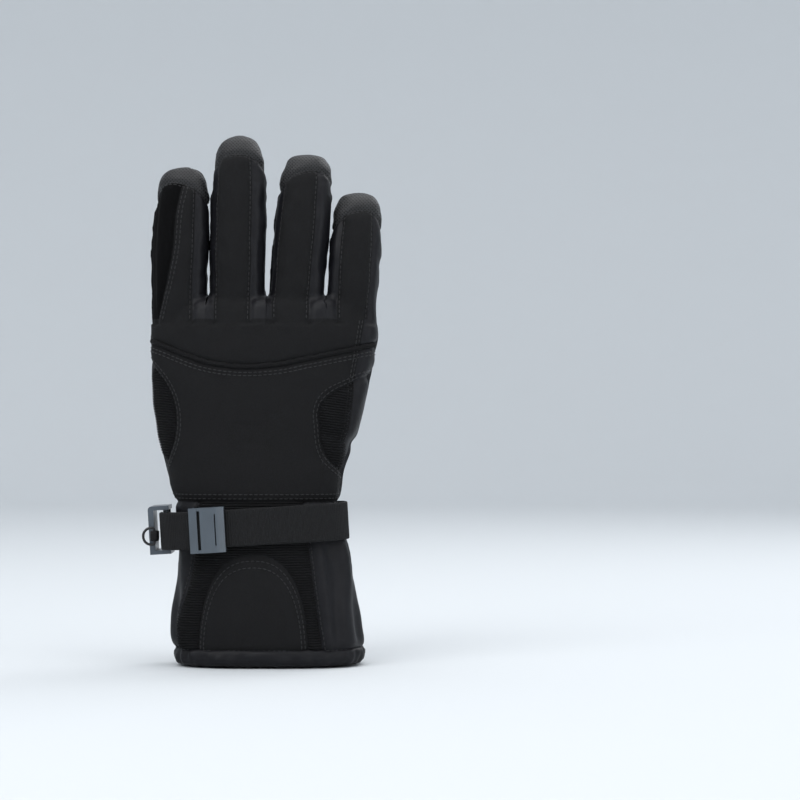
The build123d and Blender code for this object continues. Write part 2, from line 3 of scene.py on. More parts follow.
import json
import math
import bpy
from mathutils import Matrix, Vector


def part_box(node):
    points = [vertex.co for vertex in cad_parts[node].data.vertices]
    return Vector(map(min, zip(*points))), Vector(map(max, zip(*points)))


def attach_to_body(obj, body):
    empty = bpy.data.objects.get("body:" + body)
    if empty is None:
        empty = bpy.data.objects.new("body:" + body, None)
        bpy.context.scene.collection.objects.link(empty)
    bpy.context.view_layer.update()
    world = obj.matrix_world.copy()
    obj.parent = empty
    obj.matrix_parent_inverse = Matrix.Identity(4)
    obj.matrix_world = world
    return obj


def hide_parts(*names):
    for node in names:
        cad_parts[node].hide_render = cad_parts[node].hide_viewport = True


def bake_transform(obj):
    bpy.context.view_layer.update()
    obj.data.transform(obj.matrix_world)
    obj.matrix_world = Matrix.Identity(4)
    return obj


bl_info = {
    "name": "Ski Glove Builder",
    "version": (1, 0, 0),
    "blender": (4, 5, 0),
    "location": "View3D > Sidebar > Ski Glove",
    "description": "Makes the sewn shell, padding, stitching, webbing and hardware of a ski glove",
    "category": "Add Mesh",
}

import bpy
import numpy as np
from mathutils import Vector

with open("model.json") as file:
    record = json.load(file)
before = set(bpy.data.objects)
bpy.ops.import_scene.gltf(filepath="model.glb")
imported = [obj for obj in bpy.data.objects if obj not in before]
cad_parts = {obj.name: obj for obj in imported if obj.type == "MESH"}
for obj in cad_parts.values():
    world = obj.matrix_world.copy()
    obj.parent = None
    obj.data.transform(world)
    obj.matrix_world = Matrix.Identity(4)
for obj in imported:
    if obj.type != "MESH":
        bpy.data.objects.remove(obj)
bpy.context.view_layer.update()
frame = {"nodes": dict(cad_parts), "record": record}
MM = 0.001
FINGERS = ("index", "middle", "ring", "little")
JOINTS = {joint["name"]: joint for joint in frame["record"]["behaviour"]["joints"]}


# ------------------------------------------------------------ sizes from the frame
def low(node):
    """The lowest corner of a node of the frame, in millimetres."""
    return np.array(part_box(node)[0]) / MM


def high(node):
    """The highest corner of a node of the frame, in millimetres."""
    return np.array(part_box(node)[1]) / MM


ROOT = high("finger_web")[2]
WRIST = low("lower_back_panel")[2]
HAND_Y = (low("finger_web")[1] + high("finger_web")[1]) / 2
HAND_LEFT = low("finger_web")[0]
HAND_RIGHT = high("finger_web")[0]
HEM_LEFT = low("hem_binding")[0] + 1.2
HEM_RIGHT = high("hem_binding")[0] - 1.2
HEM_DEPTH = high("hem_binding")[1] - low("hem_binding")[1] - 3.0
FINGER_X = {name: JOINTS[f"{name}_fold"]["pos_m"][0] / MM for name in FINGERS}
FINGER_TIP = {name: high(f"{name}_tip_cap")[2] for name in FINGERS}
THUMB_X = JOINTS["thumb_swing"]["pos_m"][0] / MM
THUMB_Y = JOINTS["thumb_swing"]["pos_m"][1] / MM
THUMB_TIP = high("thumb_patch")[2]
FINGER_HALF = {"index": (15.3, 13.8), "middle": (15.2, 14.0), "ring": (15.1, 13.6), "little": (13.9, 12.2)}
FINGER_LEAN = {"index": 2.2, "middle": 1.4, "ring": 6.4, "little": 3.2}
FINGER_CURL = 8.0
CUT = ROOT - 10.0         # finger pieces start here and turn fully at the other end
THUMB_CUT = 102.0

# Height, left side, right side and depth of the hand and cuff.
TRUNK = np.array([
    (0.0, HEM_LEFT + 1.5, HEM_RIGHT - 2.0, HEM_DEPTH - 1.0),
    (8.0, HEM_LEFT, HEM_RIGHT, HEM_DEPTH),
    (22.0, HEM_LEFT - 0.8, HEM_RIGHT - 3.4, HEM_DEPTH + 1.0),
    (49.0, HEM_LEFT + 2.6, HEM_RIGHT - 7.6, HEM_DEPTH - 2.0),
    (65.0, HEM_LEFT + 3.4, HEM_RIGHT - 10.4, HEM_DEPTH - 7.0),
    (77.0, HEM_LEFT + 2.2, HEM_RIGHT - 12.6, HEM_DEPTH - 10.0),
    (WRIST, HEM_LEFT + 0.8, HEM_RIGHT - 13.2, HEM_DEPTH - 10.5),
    (107.0, -51.9, 44.0, 43.5),
    (125.0, -56.2, 50.0, 42.0),
    (147.0, -58.9, 56.0, 41.0),
    (168.0, HAND_LEFT - 0.2, HAND_RIGHT - 2.0, 38.0),
    (185.0, HAND_LEFT - 0.3, HAND_RIGHT, 33.0),
    (ROOT, HAND_LEFT - 0.3, HAND_RIGHT, 29.0),
])
TRUNK_ROUND = 2.7
FINGER_FORM = np.array([(-0.45, 0.86), (0.0, 0.95), (0.3, 1.0), (0.68, 0.97), (0.85, 0.87), (0.94, 0.69),
                        (0.985, 0.43), (1.0, 0.16)])
# Height, centre from the swing axis, half width, centre in y from the thumb's axis, half depth.
THUMB_FORM = np.array([
    (92.0, -1.0, 12.0, -24.0, 10.0),
    (100.0, -0.5, 17.0, -19.0, 13.0),
    (110.0, -1.5, 19.3, -9.0, 14.5),
    (121.0, -4.4, 20.2, 0.0, 12.6),
    (136.0, -8.2, 20.2, 1.0, 11.4),
    (152.0, -11.6, 19.6, 1.2, 10.9),
    (168.0, -13.4, 18.0, 1.2, 10.6),
    (180.0, -15.0, 15.6, 0.2, 11.2),
    (188.0, -16.6, 11.8, 0.6, 9.0),
    (192.6, -18.0, 6.6, 1.0, 5.4),
    (THUMB_TIP, -18.6, 2.4, 1.2, 2.0),
])
SPREAD = 5.0              # fingers and thumb are held this far apart while they are joined


def along(table, height):
    """Reads a table whose first column is a height, with smooth turns between its rows."""
    height = np.asarray(height, float)
    keys = table[:, 0]
    slopes = np.gradient(table[:, 1:], keys, axis=0)
    row = np.clip(np.searchsorted(keys, height) - 1, 0, len(keys) - 2)
    step = (keys[row + 1] - keys[row])[..., None]
    share = np.clip((height - keys[row]) / step[..., 0], 0.0, 1.0)[..., None]
    square, cube = share**2, share**3
    start, end = table[row, 1:], table[row + 1, 1:]
    return ((2 * cube - 3 * square + 1) * start + (cube - 2 * square + share) * step * slopes[row]
            + (3 * square - 2 * cube) * end + (cube - square) * step * slopes[row + 1])


def smooth(value, start, end):
    """0 before start, 1 after end, a smooth turn between."""
    share = np.clip((value - start) / (end - start), 0.0, 1.0)
    return share * share * (3 - 2 * share)


def finger_line(name, z):
    """The middle of a finger in x and y at a height, and its half width and half depth."""
    share = (z - ROOT) / (FINGER_TIP[name] - ROOT)
    full = along(FINGER_FORM, np.clip(share, -0.45, 1.0))[..., 0]
    reach = np.clip(share, 0.0, 1.0)
    half_width, half_depth = FINGER_HALF[name]
    deep = full * (0.92 + 0.08 * smooth(share, -0.2, 0.3))
    middle = FINGER_X[name] + FINGER_LEAN[name] * reach
    return middle, HAND_Y + FINGER_CURL * reach**2, half_width * full, half_depth * deep


def ring_points(cx, cy, z, a, b, power, count):
    """One closed section of a sewn tube."""
    turn = np.linspace(0.0, 2 * math.pi, count, endpoint=False)
    c, s = np.cos(turn), np.sin(turn)
    x = cx + a * np.sign(c) * np.abs(c) ** (2 / power)
    y = cy + b * np.sign(s) * np.abs(s) ** (2 / power)
    return np.stack([x, y, np.full(count, z)], axis=1)


def tube(rings, close_low=True, close_high=True):
    """Points and faces of a tube through closed sections."""
    count = len(rings[0])
    points = [tuple(p) for ring in rings for p in ring]
    faces = []
    for k in range(len(rings) - 1):
        for i in range(count):
            j = (i + 1) % count
            faces.append((k * count + i, k * count + j, (k + 1) * count + j, (k + 1) * count + i))
    if close_low:
        points.append(tuple(rings[0].mean(0)))
        faces += [(len(points) - 1, (i + 1) % count, i) for i in range(count)]
    if close_high:
        points.append(tuple(rings[-1].mean(0)))
        base = (len(rings) - 1) * count
        faces += [(len(points) - 1, base + i, base + (i + 1) % count) for i in range(count)]
    return points, faces


def trunk_rings(inset, low_z, high_z, step, count=96):
    """Sections of the hand and cuff, moved in by inset."""
    rings = []
    for z in np.arange(low_z, high_z + step / 2, step):
        left, right, depth = along(TRUNK, z)
        crown = 1.0 - 0.5 * smooth(z, ROOT - 4.0, ROOT + 3.0) ** 2
        rings.append(ring_points((left + right) / 2, HAND_Y, z,
                                 ((right - left) / 2 - inset) * (1 - 0.04 * (1 - crown)),
                                 (depth / 2 - inset) * crown, TRUNK_ROUND, count))
    return rings


def finger_rings(name, inset, low_z, count=56):
    """Sections of a finger up to its tip, moved in by inset."""
    tip = FINGER_TIP[name]
    heights = [*np.arange(low_z, tip - 14.0, 2.5),
               *(tip - 14.0 * (1 - np.sin(np.linspace(0, math.pi / 2, 12))))]
    rings = []
    for z in heights:
        x, y, a, b = finger_line(name, z)
        if a > inset + 1.0 and b > inset + 1.0:
            rings.append(ring_points(x, y, z, a - inset, b - inset, 2.25, count))
    return rings


def thumb_rings(inset, low_z, count=56):
    """Sections of the thumb, moved in by inset."""
    heights = [*np.arange(low_z, THUMB_TIP - 14.0, 2.5),
               *(THUMB_TIP - 14.0 * (1 - np.sin(np.linspace(0, math.pi / 2, 12))))]
    rings = []
    for z in heights:
        shift, half_width, y, half_depth = along(THUMB_FORM, z)
        if half_width > inset + 1.0 and half_depth > inset + 1.0:
            rings.append(ring_points(THUMB_X + shift, THUMB_Y + y, z, half_width - inset, half_depth - inset,
                                     2.2, count))
    return rings


# ----------------------------------------------------------------- mesh helpers
def make_object(name, points, faces, material=None, shade=True, edges=()):
    """A mesh object from points in millimetres."""
    mesh = bpy.data.meshes.new(name)
    mesh.from_pydata([tuple(p) for p in np.asarray(points, float) * MM], list(edges),
                     [tuple(f) for f in faces])
    if shade and len(mesh.polygons):
        mesh.polygons.foreach_set("use_smooth", [True] * len(mesh.polygons))
    obj = bpy.data.objects.new(name, mesh)
    bpy.context.scene.collection.objects.link(obj)
    if material:
        mesh.materials.append(material)
    return obj


def applied(obj):
    """Turns an object with modifiers into a plain mesh object."""
    depsgraph = bpy.context.evaluated_depsgraph_get()
    mesh = bpy.data.meshes.new_from_object(obj.evaluated_get(depsgraph))
    obj.modifiers.clear()
    old = obj.data
    obj.data = mesh
    bpy.data.meshes.remove(old)
    mesh.name = obj.name
    return obj


def value_noise(points, size, seed):
    """Smooth noise from -1 to 1 with cells of the given size in millimetres."""
    cell = points / size + seed * 17.13
    base = np.floor(cell).astype(np.int64)
    share = cell - base
    share = share * share * (3 - 2 * share)
    total = np.zeros(len(points))
    for dx in (0, 1):
        for dy in (0, 1):
            for dz in (0, 1):
                key = (base[:, 0] + dx) * 73856093 ^ (base[:, 1] + dy) * 19349663 ^ (base[:,
                        2] + dz) * 83492791
                key = (key ^ (key >> 13)) * 1274126177 & 0x7FFFFFFF
                value = (key % 10007) / 10007.0 * 2 - 1
                weight = (share[:, 0] if dx else 1 - share[:, 0]) * (share[:, 1] if dy else 1 - share[:, 1])
                total += value * weight * (share[:, 2] if dz else 1 - share[:, 2])
    return total


# --------------------------------------------------------------------- materials
def node(tree, kind, **values):
    """Adds a shader or geometry node and sets its properties."""
    made = tree.nodes.new(kind)
    for key, value in values.items():
        setattr(made, key, value)
    return made


def finish(name, colour, roughness, sheen=0.0, coat=0.0, metallic=0.0, specular=0.5):
    """Starts a material with its even values, and returns it with its tree and shader."""
    material = bpy.data.materials.new(name)
    material.use_nodes = True
    tree = material.node_tree
    shader = tree.nodes["Principled BSDF"]
    shader.inputs["Base Color"].default_value = (*colour, 1.0)
    shader.inputs["Roughness"].default_value = roughness
    shader.inputs["Metallic"].default_value = metallic
    shader.inputs["Specular IOR Level"].default_value = specular
    shader.inputs["Sheen Weight"].default_value = sheen
    shader.inputs["Sheen Roughness"].default_value = 0.45
    shader.inputs["Coat Weight"].default_value = coat
    return material, tree, shader


def pattern(tree, kind, scale, stretch=(1.0, 1.0, 1.0), turn=(0.0, 0.0, 0.0), **values):
    """A texture on object coordinates, stretched and turned."""
    place = node(tree, "ShaderNodeTexCoord")
    mapping = node(tree, "ShaderNodeMapping")
    mapping.inputs["Scale"].default_value = stretch
    mapping.inputs["Rotation"].default_value = turn
    tree.links.new(place.outputs["Object"], mapping.inputs["Vector"])
    texture = node(tree, kind, **values)
    texture.inputs["Scale"].default_value = scale
    tree.links.new(mapping.outputs["Vector"], texture.inputs["Vector"])
    return texture


def vary_colour(tree, shader, source, dark, light):
    """Lets a texture move the colour between two values."""
    ramp = node(tree, "ShaderNodeMix", data_type="RGBA")
    ramp.inputs["A"].default_value = (*dark, 1.0)
    ramp.inputs["B"].default_value = (*light, 1.0)
    tree.links.new(source, ramp.inputs["Factor"])
    tree.links.new(ramp.outputs["Result"], shader.inputs["Base Color"])


def add_bump(tree, shader, source, depth, strength=1.0):
    """Adds relief, in millimetres, on top of any relief that is there."""
    bump = node(tree, "ShaderNodeBump")
    bump.inputs["Distance"].default_value = depth * MM
    bump.inputs["Strength"].default_value = strength
    before = shader.inputs["Normal"].links
    if before:
        tree.links.new(before[0].from_socket, bump.inputs["Normal"])
    tree.links.new(source, bump.inputs["Height"])
    tree.links.new(bump.outputs["Normal"], shader.inputs["Normal"])


def grey(value, warm=0.0):
    """A near-black of the glove's cloths, a little blue or warm."""
    return (value * (1.0 + warm), value, value * (1.06 - warm))


def softshell_material(settings):
    """Dense matte stretch cloth with a fine heathered twill."""
    base = settings.shell_shade
    material, tree, shader = finish("softshell", grey(base), 0.85, sheen=0.015, specular=0.12)
    speckle = pattern(tree, "ShaderNodeTexNoise", 2600.0, (1.0, 1.0, 0.55))
    vary_colour(tree, shader, speckle.outputs["Fac"], grey(base * 0.45), grey(base * 1.75))
    twill = pattern(tree, "ShaderNodeTexWave", 900.0, turn=(0.0, 0.8, 0.0))
    add_bump(tree, shader, twill.outputs["Fac"], 0.05, 0.5)
    add_bump(tree, shader, speckle.outputs["Fac"], 0.08, 0.6)
    return material


def nylon_material(settings):
    """Thin tightly woven nylon with a low sheen and fine creases."""
    base = settings.nylon_shade
    material, tree, shader = finish("nylon", (base, base * 1.0, base * 1.35), 0.5, sheen=0.0, specular=0.2)
    weave = pattern(tree, "ShaderNodeTexNoise", 3000.0, (1.0, 1.0, 0.35))
    crease_and_painted_shade = pattern(tree, "ShaderNodeTexNoise", 140.0, (1.0, 1.0, 1.5))
    crease_and_painted_shade.inputs["Detail"].default_value = 4.0
    # painted shade and painted highlight: the colour darkens in the crease hollows and lightens on the crease
    # ridges
    vary_colour(tree, shader, crease_and_painted_shade.outputs["Fac"], (base * 0.6, base * 0.6, base * 0.9),
                (base * 1.5, base * 1.5, base * 1.9))
    add_bump(tree, shader, crease_and_painted_shade.outputs["Fac"], 0.9, 0.45)
    add_bump(tree, shader, weave.outputs["Fac"], 0.05, 0.6)
    return material


def suede_material(settings):
    """Soft brushed suede, darker than everything round it."""
    base = settings.suede_shade
    material, tree, shader = finish("suede", grey(base), 0.95, sheen=0.01, specular=0.04)
    nap = pattern(tree, "ShaderNodeTexNoise", 900.0)
    nap.inputs["Detail"].default_value = 6.0
    vary_colour(tree, shader, nap.outputs["Fac"], grey(base * 0.5), grey(base * 1.8))
    add_bump(tree, shader, nap.outputs["Fac"], 0.15, 0.7)
    return material


def grip_material(settings):
    """Rubbery palm cloth with rows of small round dimples."""
    base = settings.grip_shade
    material, tree, shader = finish("grip", grey(base), 0.5, specular=0.3)
    dots = pattern(tree, "ShaderNodeTexVoronoi", 1000.0 / settings.grip_pitch,
                   turn=(math.radians(90), 0.0, math.radians(45)),
                   voronoi_dimensions="2D", feature="F1")
    dots.inputs["Randomness"].default_value = 0.0
    edge = node(tree, "ShaderNodeMapRange", interpolation_type="SMOOTHSTEP")
    edge.inputs["From Min"].default_value = 0.2
    edge.inputs["From Max"].default_value = 0.42
    tree.links.new(dots.outputs["Distance"], edge.inputs["Value"])
    # painted shade: the dimples are coloured near black where they sink into the cloth
    vary_colour(tree, shader, edge.outputs["Result"], grey(base * 0.18), grey(base * 1.25))
    add_bump(tree, shader, edge.outputs["Result"], 0.3, 0.8)
    return material


def knit_material(settings):
    """Elastic rib knit, for the cords of the ribs and the cloth under them."""
    base = settings.knit_shade
    material, tree, shader = finish("rib_knit", grey(base), 0.9, sheen=0.02, specular=0.08)
    loops = pattern(tree, "ShaderNodeTexNoise", 1800.0, (1.0, 1.0, 0.4))
    vary_colour(tree, shader, loops.outputs["Fac"], grey(base * 0.5), grey(base * 1.7))
    add_bump(tree, shader, loops.outputs["Fac"], 0.12, 0.7)
    return material


def webbing_material(settings):
    """Woven strap yarn."""
    base = settings.webbing_shade
    material, tree, shader = finish("webbing", grey(base), 0.7, sheen=0.01, specular=0.15)
    yarn = pattern(tree, "ShaderNodeTexNoise", 1500.0, (0.6, 0.6, 1.4))
    vary_colour(tree, shader, yarn.outputs["Fac"], grey(base * 0.5), grey(base * 1.7))
    add_bump(tree, shader, yarn.outputs["Fac"], 0.15, 0.8)
    return material


def plastic_material(settings):
    """Moulded satin plastic of the adjuster and side buckle."""
    material, tree, shader = finish("buckle_plastic", tuple(settings.buckle_colour), 0.34, coat=0.1,
                                    specular=0.5)
    mould = pattern(tree, "ShaderNodeTexNoise", 700.0)
    cloud = pattern(tree, "ShaderNodeTexNoise", 60.0)
    colour = settings.buckle_colour
    vary_colour(tree, shader, cloud.outputs["Fac"], [c * 0.8 for c in colour], [c * 1.2 for c in colour])
    add_bump(tree, shader, mould.outputs["Fac"], 0.04, 0.4)
    return material


def metal_material(settings):
    """Black coated wire of the clip ring."""
    material, tree, shader = finish("ring_metal", grey(0.012), 0.35, metallic=0.4, specular=0.5)
    wear = pattern(tree, "ShaderNodeTexNoise", 900.0)
    vary_colour(tree, shader, wear.outputs["Fac"], grey(0.008), grey(0.03))
    add_bump(tree, shader, wear.outputs["Fac"], 0.02, 0.5)
    return material


def thread_material(settings):
    """Black sewing thread with a slight gloss."""
    material, tree, shader = finish("thread", grey(settings.thread_shade), 0.55, sheen=0.02, specular=0.3)
    twist = pattern(tree, "ShaderNodeTexWave", 1600.0, turn=(0.3, 0.5, 0.4))
    add_bump(tree, shader, twist.outputs["Fac"], 0.06, 0.6)
    return material


def fleece_material(settings):
    """Brushed lining of the inside."""
    material, tree, shader = finish("fleece", grey(0.02), 0.98, sheen=0.4, specular=0.1)
    pile = pattern(tree, "ShaderNodeTexNoise", 600.0)
    pile.inputs["Detail"].default_value = 8.0
    vary_colour(tree, shader, pile.outputs["Fac"], grey(0.01), grey(0.045))
    add_bump(tree, shader, pile.outputs["Fac"], 0.5, 0.8)
    return material


def padding_material(settings):
    """Off-white needled filling."""
    material, tree, shader = finish("padding", (0.62, 0.61, 0.57), 0.95, sheen=0.3, specular=0.1)
    fibre = pattern(tree, "ShaderNodeTexNoise", 500.0, (0.4, 1.0, 1.0))
    vary_colour(tree, shader, fibre.outputs["Fac"], (0.5, 0.49, 0.45), (0.74, 0.73, 0.7))
    add_bump(tree, shader, fibre.outputs["Fac"], 0.6, 0.8)
    return material


MATERIALS = {}


def make_materials(settings):
    """All finishes of the glove, by their slot."""
    MATERIALS.update(
        softshell=softshell_material(settings),
        nylon=nylon_material(settings),
        suede=suede_material(settings),
        grip=grip_material(settings),
        rib_knit=knit_material(settings),
        webbing=webbing_material(settings),
        buckle_plastic=plastic_material(settings),
        ring_metal=metal_material(settings),
        thread=thread_material(settings),
        fleece=fleece_material(settings),
        padding=padding_material(settings),
    )


# ---------------------------------------------------------------- the sewn shell
def joined_form(voxel):
    """The hand, fingers and thumb held apart, joined and remeshed as one closed skin (V, T)."""
    points, faces = [], []

    def put(part):
        base = len(points)
        points.extend(part[0])
        faces.extend(tuple(base + i for i in face) for face in part[1])

    put(tube(trunk_rings(0.0, 0.0, ROOT + 1.0, 2.5)))
    for k, name in enumerate(FINGERS):
        rings = finger_rings(name, 0.0, ROOT - 34.0)
        for ring in rings:
            ring[:, 0] += (k - 1.5) * SPREAD * smooth(ring[0, 2], ROOT - 20.0, ROOT + 8.0)
        put(tube(rings))
    rings = thumb_rings(0.0, THUMB_FORM[0, 0])
    for ring in rings:
        ring[:, 1] += SPREAD * smooth(ring[0, 2], 104.0, 126.0)
    put(tube(rings))
    obj = make_object("joined_form", points, faces)
    remesh = obj.modifiers.new("remesh", "REMESH")
    remesh.mode = "VOXEL"
    remesh.voxel_size = voxel * MM
    remesh.use_smooth_shade = True
    applied(obj)
    mesh = obj.data
    verts = np.empty(len(mesh.vertices) * 3)
    mesh.vertices.foreach_get("co", verts)
    mesh.calc_loop_triangles()
    tris = np.empty(len(mesh.loop_triangles) * 3, np.int64)
    mesh.loop_triangles.foreach_get("vertices", tris)
    bpy.data.objects.remove(obj)
    bpy.data.meshes.remove(mesh)
    return verts.reshape(-1, 3) / MM, tris.reshape(-1, 3)


def edges_of(tris):
    """Every edge of the triangles, once."""
    pairs = np.sort(np.concatenate([tris[:, [0, 1]], tris[:, [1, 2]], tris[:, [2, 0]]]), axis=1)
    return np.unique(pairs, axis=0)


def relax(verts, edges, times, share=0.5):
    """Evens out the points of a mesh."""
    count = np.bincount(edges.ravel(), minlength=len(verts))[:, None]
    for _ in range(times):
        total = np.zeros_like(verts)
        for axis in range(3):
            total[:, axis] = np.bincount(edges[:, 0], verts[edges[:, 1], axis], len(verts))
            total[:, axis] += np.bincount(edges[:, 1], verts[edges[:, 0], axis], len(verts))
        verts = verts + share * (total / np.maximum(count, 1) - verts)
    return verts


def normals_of(verts, tris):
    """Point normals, outwards."""
    face = np.cross(verts[tris[:, 1]] - verts[tris[:, 0]], verts[tris[:, 2]] - verts[tris[:, 0]])
    total = np.zeros_like(verts)
    for corner in range(3):
        for axis in range(3):
            total[:, axis] += np.bincount(tris[:, corner], face[:, axis], len(verts))
    return total / np.maximum(np.linalg.norm(total, axis=1, keepdims=True), 1e-9)


class Skin:
    """The glove's outer skin: points, triangles, which digit each point is on, and its seams."""

    def __init__(self, voxel):
        self.verts, self.tris = joined_form(voxel)
        self.edges = edges_of(self.tris)
        self.verts = relax(self.verts, self.edges, 5)
        self.sort_digits()
        self.verts = relax(self.verts, self.edges, 2)
        self.fields = {}
        self.masks = {}

    def sort_digits(self):
        """Finds each digit's points and closes the gaps that held the digits apart."""
        v = self.verts
        x, y, z = v.T
        held = SPREAD * smooth(z, 104.0, 126.0)
        shift, half_width, middle_y, half_depth = along(THUMB_FORM, np.clip(z, THUMB_FORM[0, 0], THUMB_TIP)).T
        reach = ((x - THUMB_X - shift) / half_width) ** 2 + ((y - held - THUMB_Y - middle_y)
                                                             / half_depth) ** 2
        tip = z > THUMB_TIP - 12.0
        near = np.where(tip, (x - THUMB_X + 17.0) ** 2 + (y - held - THUMB_Y) ** 2 < 400.0, reach < 1.7)
        self.thumb = (z > 88.0) & (z < THUMB_TIP + 3.0) & near & (y > self.palm_y(z, x) + 1.0 + 0.55 * held)
        y = y - np.where(self.thumb, SPREAD * smooth(z, 104.0, 126.0), 0.0)
        middles = np.stack([finger_line(n, z)[0] + (k - 1.5) * SPREAD * smooth(z, ROOT - 20.0, ROOT + 8.0)
                            for k, n in enumerate(FINGERS)], axis=1)
        halves = np.stack([np.maximum(finger_line(n, z)[2], 6.0) for n in FINGERS], axis=1)
        self.digit = np.argmin(np.abs(x[:, None] - middles) / halves, axis=1)
        pull = (self.digit - 1.5) * SPREAD * smooth(z, ROOT - 20.0, ROOT + 8.0) * (z > ROOT - 20.0)
        x = x - np.where(self.thumb, 0.0, pull)
        self.verts = np.stack([x, y, z], axis=1)

    @staticmethod
    def palm_y(z, x):
        """The palm's surface in y."""
        left, right, depth = along(TRUNK, np.clip(z, 0.0, ROOT)).T
        share = np.clip(np.abs(x - (left + right) / 2) / ((right - left) / 2), 0.0, 1.0)
        return HAND_Y + depth / 2 * (1 - share**TRUNK_ROUND) ** (1 / TRUNK_ROUND)

    def seam(self, name, value, mask):
        """Moves the nearest points onto the line where value is zero, so that the cloth can be cut there."""
        first, second = self.edges.T
        a, b = value[first], value[second]
        crossing = (a * b < 0) & mask[first] & mask[second]
        first, second, a, b = first[crossing], second[crossing], a[crossing], b[crossing]
        share = np.abs(a) / (np.abs(a) + np.abs(b))
        near_first = share <= 0.5
        move = np.where(near_first, first, second)
        other = np.where(near_first, second, first)
        share = np.where(near_first, share, 1 - share)
        order = np.argsort(-share)
        move, other, share = move[order], other[order], share[order]
        for data in (self.verts, *self.fields.values()):
            step = share[:, None] if data.ndim == 2 else share
            data[move] = data[move] + step * (data[other] - data[move])
        value = value.copy()
        value[move] = 0.0
        self.fields[name] = value
        self.masks[name] = mask

    def side(self, name):
        """Which triangles lie on the positive side of a seam."""
        return self.fields[name][self.tris].sum(axis=1) > 0


# Seams that run up the glove: heights and the x of the seam at each.
LEFT_GUSSET = ([62, 98, 110, 130, 146, 164.5, 175], [-62, -60, -51.9, -46.5, -49.8, -64, -76])
RIGHT_GUSSET = ([62, 96, 112, 125, 147, 154, 160], [62, 52, 35.6, 32.1, 40.7, 56, 70])
BACK_OUTER = ([80, 112, 152, 169.6, 205], [43, 45, 50.6, 53.5, 59])
PALM_OUTER = ([80, 92, 125, 168.5, 210], [35, 36, 43, 51.5, 56])
RIB_LEFT = ([0, 66, 95], [-48, -36, -33])
RIB_RIGHT = ([0, 66, 95], [34.5, 25.5, 22])
PALM_CUFF_LEFT = ([0, 48.7, 90], [-34, -27.8, -19.3])
PALM_CUFF_RIGHT = ([0, 52.4, 90], [32.8, 21.1, 17.6])
SUEDE = ([182, 190, 223, 245.6, 262, 290], [-58, -56, -48.2, -46.2, -42.8, -40])
# Seams that run across the glove: x and the height of the seam at each.
PIPING = ([-75, -70, -56.4, -28.9, 5.9, 26, 70], [180, 178, 172.8, 162.6, 161, 164.8, 174])
GRIP_TOP = ([-75, -26.2, 5.9, 35.8, 75], [184, 184, 183, 175, 158])
OVAL_CENTRE = -4.1
OVAL_REACH = (30.0, 60.0)
INNER_CENTRE = (-40.0, 80.0)
INNER_REACH = (64.6, 86.0)
THUMB_EDGE = ([-80, -45.8, -19.8, 0], [122, 139.1, 156.2, 171])
FINGER_EDGES = {"index": (-0.9, 0.59), "middle": (-0.83, 0.56), "ring": (-0.88, 0.54),
                "little": (-0.62, 0.74)}
HEM_TOP = 8.0


def curve(points, value):
    """A smooth curve through the points of a seam."""
    return along(np.array(points, float).T, value)[..., 0]


def up_line(points, z, x):
    """Signed distance, right of a seam that runs up the glove."""
    lean = curve(points, z + 0.5) - curve(points, z - 0.5)
    return (x - curve(points, z)) / np.sqrt(1 + lean**2)


def cross_line(points, z, x):
    """Signed distance, above a seam that runs across the glove."""
    lean = curve(points, x + 0.5) - curve(points, x - 0.5)
    return (z - curve(points, x)) / np.sqrt(1 + lean**2)


def inner_line(z, x):
    """Signed distance outside the round seam of the thumb's base panel."""
    across = np.maximum(x - INNER_CENTRE[0], 0.0) / INNER_REACH[0]
    up = np.maximum(z - INNER_CENTRE[1], 0.0) / INNER_REACH[1]
    return ((across**2.9 + up**2.9) ** (1 / 2.9) - 1.0) * INNER_REACH[0]


def oval_line(z, x):
    """Signed distance outside the arched seam of the cuff's centre panel."""
    across = np.abs(x - OVAL_CENTRE) / OVAL_REACH[0]
    return ((across**2.5 + (np.maximum(z, 0.0) / OVAL_REACH[1]) ** 2.5) ** 0.4 - 1.0) * OVAL_REACH[0]


